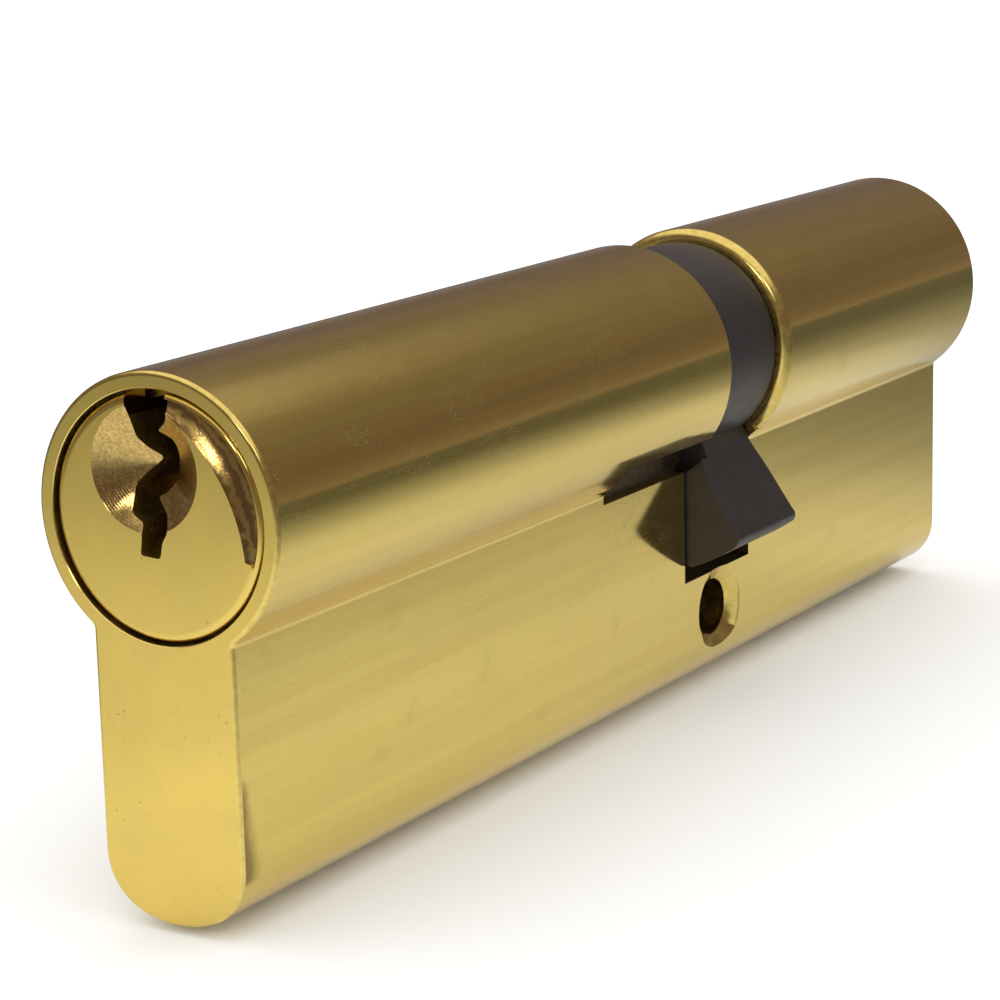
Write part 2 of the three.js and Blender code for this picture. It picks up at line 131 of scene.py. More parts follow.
CAM_R = 7.6
CAM_HALF_WIDTH = 4.2
CAM_CHAMFER = 0.15
CAM_CLEAR_R = 6.4
CAM_DRIVE_R = 5.15
CAM_DRIVE_HALF = 1.05
CAM_DRIVE_SLOT = (6.3, 1.35)
TOOTH_Y = (-5.1, 4.3)
TOOTH_TIP_R = 15.55
TOOTH_CORNER_R = 0.6
TOOTH_ANGLE = math.radians(28)
TOOTH_OVERHANG_R = 9.1
# Distance from the axis and half thickness: waisted, widening into the ring, leaner at the rear
TOOTH_FRONT_FLANK = ((5.0, 2.7), (8.4, 2.6), (10.2, 2.15), (15.0, 2.4))
TOOTH_REAR_FLANK = ((5.0, 1.5), (8.8, 1.5), (10.5, 1.85), (15.0, 2.4))
ROD_BORE_R = 1.7
ROD_BORE_LEAD = 2.5

CIRCLIP_OUTER_R = 6.95
CIRCLIP_INNER_R = 5.75
CIRCLIP_SPAN = (4.9, 5.6)
CIRCLIP_OPENING = 1.1
EAR_HALF = 6.0
BLOCK_HALF = 4.6
CLUTCH_HALF_Z = 1.2
EAR_THICKNESS = 1.4
BLOCK_LENGTH = 2.0
CLUTCH_TRAVEL = 1.95
ROD_R = 1.5
ROD_TIP = 0.25

PIN_COUNT = 6
PIN_PITCH = 4.0
FIRST_PIN = 6.5
PLUG_PIN_HOLE_R = 1.52
PLUG_PIN_HOLE_TOP = 1.7
PLUG_PIN_HOLE_CONE = 0.6
CHAMBER_R = 1.6
PIN_R = 1.4
PIN_CHAMFER = 0.3
KEY_PIN_FOOT = -6.3
KEY_PIN_LENGTHS = (4.4, 5.6, 4.9, 6.1, 5.2, 4.7)
KEY_PIN_TIP_R = 0.45
KEY_PIN_TIP_LENGTH = 0.9
DRIVER_TOP = -6.75
DRIVER_LENGTH = 5.0
CHAMBER_PLUG_R = 1.5
CHAMBER_PLUG_LENGTH = 3.0
CHAMBER_PLUG_RECESS = 0.3
CHAMBER_PLUG_TOP = FOOT_Z + CHAMBER_PLUG_RECESS + CHAMBER_PLUG_LENGTH
SPRING_WIRE_R = 0.2
SPRING_COIL_R = 1.05
SPRING_OPEN_TURNS = 5.0
SPRING_END_GAP = 0.05

# Edge rounding of the small pieces
PLUG_EDGE = 0.05
CAM_EDGE = 0.18
CLUTCH_EDGE = 0.12

# How far cutters stand past what they cut, and how many sides round things have
CUT = 1.0
ROUND = 144
CLIP_ROUND = 96
FUNNEL_ROUND = 72
ROD_ROUND = 48
HOLE_ROUND = 40
PIN_ROUND = 32


# ---- Mesh helpers ----
def arc(cx, cz, r, start, end, n):
    """Points of an arc about (cx, cz), in n steps."""
    angles = [start + (end - start) * i / n for i in range(n + 1)]
    return [(cx + r * math.cos(a), cz + r * math.sin(a)) for a in angles]


def new_object(name, verts, faces):
    """A mesh object from millimetre points about the plug's axis."""
    mesh = bpy.data.meshes.new(name)
    mesh.from_pydata([tuple(v) for v in verts], [], faces)
    bm = bmesh.new()
    bm.from_mesh(mesh)
    bmesh.ops.recalc_face_normals(bm, faces=bm.faces)
    bm.to_mesh(mesh)
    bm.free()
    obj = bpy.data.objects.new(name, mesh)
    bpy.context.scene.collection.objects.link(obj)
    return obj


def loft(name, rings):
    """A closed body through rings with the same number of points."""
    n = len(rings[0])
    verts = [p for ring in rings for p in ring]
    faces = [tuple(range(n)), tuple(range(len(verts) - n, len(verts)))]
    for k in range(len(rings) - 1):
        a, b = k * n, (k + 1) * n
        faces += [(a + i, a + (i + 1) % n, b + (i + 1) % n, b + i) for i in range(n)]
    return new_object(name, verts, faces)


def prism_y(outline, y0, y1, name="cutter"):
    return loft(name, [[(x, y, z) for x, z in outline] for y in (y0, y1)])


def box(x, y, z, name="cutter"):
    return prism_y([(x[0], z[0]), (x[1], z[0]), (x[1], z[1]), (x[0], z[1])], y[0], y[1], name)


def turned(profile, axis="y", centre=(0, 0, 0), segments=ROUND, name="cutter"):
    """A body of revolution from (radius, along) points whose two ends lie on the axis."""
    verts, faces = [], []
    rows = []
    for r, along in profile:
        row = []
        count = 1 if r == 0 else segments
        for i in range(count):
            a = 2 * math.pi * i / segments
            u, v = r * math.cos(a), r * math.sin(a)
            p = {"y": (u, along, v), "z": (u, v, along), "x": (along, u, v)}[axis]
            row.append(len(verts))
            verts.append(Vector(p) + Vector(centre))
        rows.append(row)
    for low, high in zip(rows, rows[1:]):
        for i in range(segments):
            j = (i + 1) % segments
            if len(low) == 1 and len(high) == 1:
                continue
            if len(low) == 1:
                faces.append((low[0], high[i], high[j]))
            elif len(high) == 1:
                faces.append((low[i], low[j], high[0]))
            else:
                faces.append((low[i], low[j], high[j], high[i]))
    return new_object(name, verts, faces)


def ring_y(section, start=0.0, end=2 * math.pi, centre=(0, 0), segments=ROUND, name="cutter"):
    """A closed section of (radius, y) points turned about Y, all round or part of the way."""
    whole = abs(end - start - 2 * math.pi) < 1e-6
    steps = segments if whole else segments + 1
    n = len(section)
    verts = []
    for i in range(steps):
        a = start + (end - start) * i / segments
        verts += [(centre[0] + r * math.cos(a), y, centre[1] + r * math.sin(a)) for r, y in section]
    faces = []
    for i in range(segments):
        a, b = i * n, ((i + 1) % steps) * n
        faces += [(a + k, a + (k + 1) % n, b + (k + 1) % n, b + k) for k in range(n)]
    if not whole:
        faces += [tuple(range(n)), tuple(range((steps - 1) * n, steps * n))]
    return new_object(name, verts, faces)


def boolean(target, other, operation):
    """Cuts or joins other with target, and takes other away."""
    mod = target.modifiers.new("boolean", "BOOLEAN")
    mod.operation = operation
    mod.solver = "MANIFOLD"
    mod.object = other
    graph = bpy.context.evaluated_depsgraph_get()
    result = bpy.data.meshes.new_from_object(target.evaluated_get(graph))
    target.modifiers.clear()
    target.data = result
    bpy.data.objects.remove(other)


def carve(target, cutters):
    for cutter in cutters:
        boolean(target, cutter, "DIFFERENCE")
    return target


def add(target, others):
    for other in others:
        boolean(target, other, "UNION")
    return target


def finish_mesh(obj, bevel=0.0, sharp=32.0, at=(0.0, 0.0, AXIS_Z), edge_material=-1):
    """Cleans the mesh, rounds its edges, moves it into the frame in metres and sets its shading."""
    mesh = obj.data
    bm = bmesh.new()
    bm.from_mesh(mesh)
    bmesh.ops.remove_doubles(bm, verts=bm.verts, dist=1e-4)
    bmesh.ops.dissolve_limit(
        bm, angle_limit=math.radians(0.2), verts=bm.verts, edges=bm.edges, delimit={"MATERIAL"})
    bmesh.ops.recalc_face_normals(bm, faces=bm.faces)
    bm.to_mesh(mesh)
    bm.free()
    if bevel:
        mod = obj.modifiers.new("edges", "BEVEL")
        mod.width = bevel
        mod.segments = 2
        mod.limit_method = "ANGLE"
        mod.angle_limit = math.radians(sharp)
        mod.use_clamp_overlap = True
        mod.miter_outer = "MITER_SHARP"
        mod.material = edge_material
        graph = bpy.context.evaluated_depsgraph_get()
        mesh = bpy.data.meshes.new_from_object(obj.evaluated_get(graph))
        obj.modifiers.clear()
        obj.data = mesh
    mesh.transform(Matrix.Translation(Vector(at) * MM) @ Matrix.Scale(MM, 4))
    for polygon in mesh.polygons:
        polygon.use_smooth = True
    mesh.set_sharp_from_angle(angle=math.radians(sharp))
    weighted = obj.modifiers.new("normals", "WEIGHTED_NORMAL")
    weighted.keep_sharp = True
    return obj


# ---- Body ----
def body_outline(inset):
    """Head, web and foot as one outline, moved inwards by inset."""
    f = NECK_FILLET
    fx = WEB_HALF + f
    fz = -math.sqrt((HEAD_R + f) ** 2 - fx ** 2)
    neck = math.atan2(fz, fx)
    foot_centre = FOOT_Z + WEB_BOTTOM_R
    corner_x = WEB_HALF - WEB_CORNER_R
    corner_z = foot_centre - math.sqrt((WEB_BOTTOM_R - WEB_CORNER_R) ** 2 - corner_x ** 2)
    lean = math.atan2(corner_x, foot_centre - corner_z)
    down = -math.pi / 2
    right_corner = arc(corner_x, corner_z, WEB_CORNER_R - inset, down + lean, 0, 12)
    left_corner = arc(-corner_x, corner_z, WEB_CORNER_R - inset, -math.pi, down - lean, 12)
    foot = arc(0, foot_centre, WEB_BOTTOM_R - inset, down - lean, down + lean, 12)
    right_neck = arc(fx, fz, f + inset, math.pi, math.pi + neck, 6)
    left_neck = [(-x, z) for x, z in reversed(right_neck)]
    head = arc(0, 0, HEAD_R - inset, neck, math.pi - neck, 150)
    return right_corner[1:] + right_neck + head[1:-1] + left_neck + left_corner + foot[1:]


def body_blank():
    steps = 5
    front, rear = [], []
    for k in range(steps + 1):
        a = math.pi / 2 * k / steps
        inset = END_ROUND * (1 - math.sin(a))
        shift = END_ROUND * (1 - math.cos(a))
        outline = body_outline(inset)
        front.append([(x, FRONT_Y + shift, z) for x, z in outline])
        rear.append([(x, REAR_Y - shift, z) for x, z in outline])
    return loft("body_shell", front + rear[::-1])


def bore_cutter(face_y, inward):
    """The stepped bore of one plug, its mouth lightly chamfered."""
    slot = CAM_MID_Y - inward * (HEAD_SLOT_HALF - CUT)
    seat = CAM_MID_Y - inward * SEAT_END
    chamfer = 0.05
    profile = [
        (0, face_y - inward * CUT),
        (FLANGE_BORE_R + chamfer + CUT, face_y - inward * CUT),
        (FLANGE_BORE_R, face_y + inward * chamfer),
        (FLANGE_BORE_R, face_y + inward * FLANGE_BORE_DEPTH),
        (BORE_R, face_y + inward * FLANGE_BORE_DEPTH),
        (BORE_R, seat),
        (SEAT_R, seat),
        (SEAT_R, slot),
        (0, slot),
    ]
    return turned(profile)


def pin_places(face_y, inward):
    return [face_y + inward * (FIRST_PIN + i * PIN_PITCH) for i in range(PIN_COUNT)]


def chamber_cutter(y):
    start = FOOT_Z - CUT
    profile = [(0, start), (CHAMBER_R, start), (CHAMBER_R, 0), (0, 0)]
    return turned(profile, "z", (0, y, 0), HOLE_ROUND)


def slot_round_cutter(edge_y, inward, radius):
    """Rounds the head's outer edge beside the cam; inward is the way into the metal."""
    steps, over = 6, 0.5
    section = [(HEAD_R + over, edge_y - inward * over), (HEAD_R - radius, edge_y - inward * over)]
    for k in range(steps + 1):
        a = math.pi / 2 * k / steps
        section.append((HEAD_R - radius * (1 - math.sin(a)), edge_y + inward * radius * (1 - math.cos(a))))
    section.append((HEAD_R + over, edge_y + inward * radius))
    up = math.pi / 2
    return ring_y(section, up - SLOT_ROUND_HALF_SPAN, up + SLOT_ROUND_HALF_SPAN)


def thread_cutter():
    """The M5 thread with its countersinks: a V thread that fades out towards the mouths."""
    per_pitch, around, steepness = 8, 48, 1.15
    reach = WEB_HALF + CUT
    sink_slope = (SCREW_SINK_R - THREAD_MINOR_R) / SCREW_SINK_DEPTH
    rows = int(2 * reach / THREAD_PITCH * per_pitch)
    rings = []
    for k in range(rows + 1):
        x = -reach + 2 * reach * k / rows
        sink = SCREW_SINK_R - (WEB_HALF - abs(x)) * sink_slope
        fade = min(1, max(0, THREAD_REACH - abs(x)))
        ring = []
        for i in range(around):
            a = 2 * math.pi * i / around
            phase = (x / THREAD_PITCH + i / around) % 1
            ridge = min(1, steepness * (1 - abs(2 * phase - 1))) * fade
            r = THREAD_MINOR_R + (THREAD_MAJOR_R - THREAD_MINOR_R) * ridge
            r = max(r, min(sink, SCREW_SINK_R + CUT))
            ring.append((x, r * math.cos(a), -AXIS_Z + r * math.sin(a)))
        rings.append(ring)
    return loft("cutter", rings)


def relief_cutter():
    """The short undercut in the neck, ahead of the cam."""
    pocket = box((RELIEF_INNER_X, HEAD_R + CUT), RELIEF_Y, RELIEF_Z)
    y0, y1 = RELIEF_Y[0] - CUT, RELIEF_Y[1] + CUT
    sleeve = turned([(0, y0), (RELIEF_INNER_R, y0), (RELIEF_INNER_R, y1), (0, y1)])
    return carve(pocket, [sleeve])


def make_body():
    wide = HEAD_R + CUT
    head_slot = (CAM_MID_Y - HEAD_SLOT_HALF, CAM_MID_Y + HEAD_SLOT_HALF)
    body = body_blank()
    carve(body, [
        bore_cutter(FRONT_Y, 1),
        bore_cutter(REAR_Y, -1),
        box((-wide, wide), head_slot, (WEB_SLOT_TOP - CUT, wide)),
        box((-wide, wide), WEB_SLOT_Y, (WEB_SLOT_BOTTOM, WEB_SLOT_TOP)),
        slot_round_cutter(head_slot[1], 1, SLOT_ROUND_REAR),
        slot_round_cutter(head_slot[0], -1, SLOT_ROUND_FRONT),
        relief_cutter(),
        thread_cutter(),
        *[chamber_cutter(y) for y in pin_places(FRONT_Y, 1) + pin_places(REAR_Y, -1)],
    ])
    return body


# ---- Plugs ----
# A plug is drawn with its outer face at y = 0 and its tail towards +Y.
KEYWAY_SECTION = [
    (-2.05, 7.9), (-1.9, 5.5), (-1.9, 4.4), (-1.35, 3.7), (-0.55, 3.2), (-1.5, 2.4),
    (-2.15, 1.65), (-2.15, 0.95), (-2.1, 0.05), (-1.65, -0.25), (-1.2, -0.45),
    (-1.15, -1.15), (-1.3, -2.3), (0.1, -2.4), (0.3, -1.4), (0.7, -0.8),
    (0.4, 0.15), (-0.15, 0.6), (-0.6, 1.0), (-0.05, 1.25), (0.85, 2.1),
    (1.0, 2.75), (1.2, 3.45), (1.2, 3.95), (0.9, 4.5), (0.35, 4.7),
    (-0.25, 4.9), (0.6, 5.5), (0.95, 6.0), (0.85, 7.9),
]


def rounded(outline, radius, steps=3):
    """The outline with each corner cut by a small arc."""
    points = [Vector(p) for p in outline]
    result = []
    for i, corner in enumerate(points):
        a = (points[i - 1] - corner)
        b = (points[(i + 1) % len(points)] - corner)
        reach = min(radius, a.length * 0.4, b.length * 0.4)
        start, end = corner + a.normalized() * reach, corner + b.normalized() * reach
        for k in range(steps + 1):
            t = k / steps
            p = start * (1 - t) ** 2 + corner * 2 * t * (1 - t) + end * t ** 2
            result.append((p.x, p.y))
    return result


def plug_blank(mid, name):
    """The turned plug, from its rounded face to its tail; mid is how far behind the face the cam is."""
    wide, deep = FACE_ROUND
    steps = 7
    angles = [math.pi / 2 * k / steps for k in range(steps + 1)]
    edge = [(FLANGE_R - wide * (1 - math.sin(a)), deep * (1 - math.cos(a))) for a in angles]
    return turned([
        (0, 0), *edge, (FLANGE_R, FLANGE_THICKNESS),
        (PLUG_R, FLANGE_THICKNESS), (PLUG_R, mid - GROOVE_SPAN[1]),
        (GROOVE_R, mid - GROOVE_SPAN[1]), (GROOVE_R, mid - GROOVE_SPAN[0]),
        (PLUG_R, mid - GROOVE_SPAN[0]), (PLUG_R, mid - LAND_START),
        (LAND_R, mid - LAND_START), (LAND_R, mid - TAIL_START),
        (TAIL_R, mid - TAIL_START), (TAIL_R, mid - TAIL_END), (0, mid - TAIL_END),
    ], name=name)


def crescent_cutter():
    """The crescent groove in the face: it falls away outwards, slightly hollow, and ends bluntly."""
    cx, cz = CRESCENT_CENTRE
    start, end = CRESCENT_SPAN
    steps, across, straightness = 48, 8, 0.45
    rings = []
    for k in range(steps + 1):
        a = start + (end - start) * k / steps
        ux, uz = math.cos(a), math.sin(a)
        along = cx * ux + cz * uz
        inner = along + math.sqrt(along ** 2 - cx ** 2 - cz ** 2 + CRESCENT_INNER_R ** 2)
        width = max(CRESCENT_OUTER_R - inner, CRESCENT_LEAST_WIDTH)
        inner = CRESCENT_OUTER_R - width
        depth = CRESCENT_DEPTH * min(1.0, width / CRESCENT_FULL_WIDTH)
        ring = [(inner * ux, -CUT, inner * uz)]
        for i in range(across + 1):
            t = i / across
            r = inner + width * t
            fall = straightness * t + (1 - straightness) * (1 - (1 - t) ** 2)
            ring.append((r * ux, depth * fall, r * uz))
        ring.append((CRESCENT_OUTER_R * ux, -CUT, CRESCENT_OUTER_R * uz))
        rings.append(ring)
    return loft("cutter", rings)


def funnel_cutter():
    """The cone that leads the key in, with a small rounding at its mouth."""
    x, z = FUNNEL_CENTRE
    mouth = FUNNEL_R + FUNNEL_LIP
    above_face = -0.001
    return turned([
        (0, -CUT), (mouth, -CUT), (mouth, above_face), (FUNNEL_R, FUNNEL_LIP * 0.7),
        (FUNNEL_TIP_R, FUNNEL_DEPTH), (0, FUNNEL_DEPTH),
    ], centre=(x, 0, z), segments=FUNNEL_ROUND)


def plug_pin_hole_cutter(y):
    """One pin's hole, up through the plug's foot, with a drill's cone at its end."""
    start = -PLUG_R - CUT
    return turned([
        (0, start), (PLUG_PIN_HOLE_R, start), (PLUG_PIN_HOLE_R, PLUG_PIN_HOLE_TOP),
        (0, PLUG_PIN_HOLE_TOP + PLUG_PIN_HOLE_CONE),
    ], "z", (0, y, 0), HOLE_ROUND)


def make_plug(name, mid, has_rod_bore):
    """A plug with its keyway, pin holes and clutch slot; only the front one has a bore for the rod."""
    plug = plug_blank(mid, name)
    keyway_end = KEYWAY_LENGTH if has_rod_bore else mid - CLUTCH_SLOT_FLOOR
    half_z, half_x = CLUTCH_SLOT_HALF_Z, CLUTCH_SLOT_HALF_X
    cutters = [
        crescent_cutter(),
        prism_y(rounded(KEYWAY_SECTION, KEYWAY_CORNER_R), -CUT, keyway_end),
        funnel_cutter(),
        *[plug_pin_hole_cutter(y) for y in pin_places(-FACE_RECESS, 1)],
        box((-half_x, half_x), (mid - CLUTCH_SLOT_FLOOR, mid), (-half_z, half_z)),
        box((-LAND_R - CUT, LAND_R + CUT), (mid - EAR_SLOT_FLOOR, mid), (-half_z, half_z)),
    ]
    if has_rod_bore:
        start = keyway_end - ROD_BORE_LEAD
        profile = [(0, start), (ROD_BORE_R, start), (ROD_BORE_R, mid), (0, mid)]
        cutters.append(turned(profile, segments=ROD_ROUND))
    return carve(plug, cutters)


# ---- Cam ----
def tooth_outline(flank):
    """The tooth pointing straight down; flank lists half thickness by distance from the axis."""
    half, r = flank[-1][1], TOOTH_CORNER_R
    corner_x = half - r
    corner_z = -math.sqrt((TOOTH_TIP_R - r) ** 2 - corner_x ** 2)
    lean = math.atan2(corner_x, -corner_z)
    down = -math.pi / 2
    side = []
    steps = 24
    reach = -corner_z - flank[0][0]
    for k in range(steps):
        u = flank[0][0] + reach * k / steps
        side.append((soft_table(flank, u), -u))
    left = arc(-corner_x, corner_z, r, -math.pi, down - lean, 10)
    tip = arc(0, 0, TOOTH_TIP_R, down - lean, down + lean, 10)
    right = arc(corner_x, corner_z, r, down + lean, 0, 10)
    return [(-x, z) for x, z in side] + left + tip[1:] + right[1:] + side[::-1]


def soft_table(table, at):
    """A soft curve through (place, value) pairs: the straight lines between them, averaged."""
    def straight(place):
        for (u0, v0), (u1, v1) in zip(table, table[1:]):
            if place <= u1:
                t = max(0.0, (place - u0) / (u1 - u0))
                return v0 + (v1 - v0) * t
        return table[-1][1]

    reach, samples = 0.8, 9
    places = [at + reach * (2 * i / (samples - 1) - 1) for i in range(samples)]
    return sum(straight(place) for place in places) / samples


def make_cam():
    y0, y1 = CAM_MID_Y - CAM_HALF_WIDTH, CAM_MID_Y + CAM_HALF_WIDTH
    drive = (CAM_MID_Y - CAM_DRIVE_HALF, CAM_MID_Y + CAM_DRIVE_HALF)
    front, rear = tooth_outline(TOOTH_FRONT_FLANK), tooth_outline(TOOTH_REAR_FLANK)
    tooth = loft("tooth", [
        [(x, TOOTH_Y[0], z) for x, z in front],
        [(x, TOOTH_Y[1], z) for x, z in rear],
    ])
    tooth.data.transform(Matrix.Rotation(-TOOTH_ANGLE, 4, "Y"))
    chamfered_r = CAM_R - CAM_CHAMFER
    cam = turned([
        (0, y0), (chamfered_r, y0), (CAM_R, y0 + CAM_CHAMFER),
        (CAM_R, y1 - CAM_CHAMFER), (chamfered_r, y1), (0, y1),
    ], name="cam_ring")
    add(cam, [tooth])
    slot_x, slot_z = CAM_DRIVE_SLOT
    before_tooth = TOOTH_Y[0] - CUT
    return carve(cam, [
        turned([(0, before_tooth), (TOOTH_OVERHANG_R, before_tooth), (TOOTH_OVERHANG_R, y0), (0, y0)]),
        turned([(0, y0 - CUT), (CAM_CLEAR_R, y0 - CUT), (CAM_CLEAR_R, drive[0]), (CAM_DRIVE_R, drive[0]),
                (CAM_DRIVE_R, drive[1]), (CAM_CLEAR_R, drive[1]), (CAM_CLEAR_R, y1 + CUT), (0, y1 + CUT)]),
        box((-slot_x, slot_x), drive, (-slot_z, slot_z)),
    ])


# ---- Small pieces ----
def make_circlip(name, spin):
    """An open ring of flat wire; its opening is at the top."""
    half = CIRCLIP_OPENING / 2
    bevel = 0.06
    r0, r1 = CIRCLIP_INNER_R, CIRCLIP_OUTER_R
    y0, y1 = CIRCLIP_SPAN
    section = [
        (r0, y0 + bevel), (r0 + bevel, y0), (r1 - bevel, y0), (r1, y0 + bevel),
        (r1, y1 - bevel), (r1 - bevel, y1), (r0 + bevel, y1), (r0, y1 - bevel),
    ]
    top = math.pi / 2
    ring = ring_y(section, top + half, top + 2 * math.pi - half, segments=CLIP_ROUND, name=name)
    return turn_about_z(ring, spin)


def turn_about_z(obj, angle):
    obj.data.transform(Matrix.Rotation(angle, 4, "Z"))
    return obj


def make_clutch(name, spin):
    """One half of the clutch: a cross bar that drives the cam, on a block that slides in its plug."""
    ear = EAR_THICKNESS / 2
    high = (-CLUTCH_HALF_Z, CLUTCH_HALF_Z)
    piece = box((-EAR_HALF, EAR_HALF), (-ear, ear), high, name)
    add(piece, [box((-BLOCK_HALF, BLOCK_HALF), (-ear - BLOCK_LENGTH, 0), high)])
    return turn_about_z(piece, spin)


def key_pin_profile(length):
    """Flat at the shear line, pointed where the key lifts it."""
    z0, z1 = KEY_PIN_FOOT, KEY_PIN_FOOT + length
    dome = 0.12
    return [
        (0, z0), (PIN_R - PIN_CHAMFER, z0), (PIN_R - PIN_CHAMFER / 3, z0 + PIN_CHAMFER / 3),
        (PIN_R, z0 + PIN_CHAMFER), (PIN_R, z1 - KEY_PIN_TIP_LENGTH),
        (PIN_R - dome, z1 - KEY_PIN_TIP_LENGTH + dome * 0.7),
        (KEY_PIN_TIP_R + dome, z1 - dome * 1.2), (KEY_PIN_TIP_R - dome, z1), (0, z1),
    ]


def driver_pin_profile():
    z1 = DRIVER_TOP
    z0 = z1 - DRIVER_LENGTH
    c = PIN_CHAMFER
    return [
        (0, z0), (PIN_R - c, z0), (PIN_R - c / 3, z0 + c / 3), (PIN_R, z0 + c),
        (PIN_R, z1 - c), (PIN_R - c / 3, z1 - c / 3), (PIN_R - c, z1), (0, z1),
    ]


def chamber_plug_profile():
    """Pressed in from below; its end is dished by the punch."""
    z0 = FOOT_Z + CHAMBER_PLUG_RECESS
    z1 = CHAMBER_PLUG_TOP
    r, c = CHAMBER_PLUG_R, PIN_CHAMFER
    return [
        (0, z0 + 0.22), (r * 0.35, z0 + 0.2), (r * 0.7, z0 + 0.1), (r - 0.12, z0), (r, z0 + 0.12),
        (r, z1 - c), (r - c, z1), (0, z1),
    ]


def make_spring(name, y, phase):
    """A compression spring with closed, ground-looking end coils."""
    z0 = CHAMBER_PLUG_TOP + SPRING_WIRE_R + SPRING_END_GAP
    z1 = DRIVER_TOP - DRIVER_LENGTH - SPRING_WIRE_R - SPRING_END_GAP
    around, section = 20, 8
    closed_turns = 1.0
    closed_rise = 2.1 * SPRING_WIRE_R
    turns = 2 * closed_turns + SPRING_OPEN_TURNS
    steps = int(turns * around)
    height = z1 - z0
    rings = []
    for k in range(steps + 1):
        t = turns * k / steps
        if t < closed_turns:
            z = z0 + closed_rise * t / closed_turns
        elif t > turns - closed_turns:
            z = z1 - closed_rise * (turns - t) / closed_turns
        else:
            z = z0 + closed_rise + (height - 2 * closed_rise) * (t - closed_turns) / SPRING_OPEN_TURNS
        a = phase + 2 * math.pi * t
        ring = []
        for i in range(section):
            b = 2 * math.pi * i / section
            r = SPRING_COIL_R + SPRING_WIRE_R * math.cos(b)
            ring.append((r * math.cos(a), y + r * math.sin(a), z + SPRING_WIRE_R * math.sin(b)))
        rings.append(ring)
    return loft(name, rings)


def make_rod(start, end):
    """The push rod, from start to end along Y, with softened tips."""
    tip = ROD_TIP
    return turned([
        (0, start), (ROD_R - tip, start), (ROD_R - tip / 3, start + tip / 3), (ROD_R, start + tip),
        (ROD_R, end - tip), (ROD_R - tip / 3, end - tip / 3), (ROD_R - tip, end), (0, end),
    ], segments=ROD_ROUND)


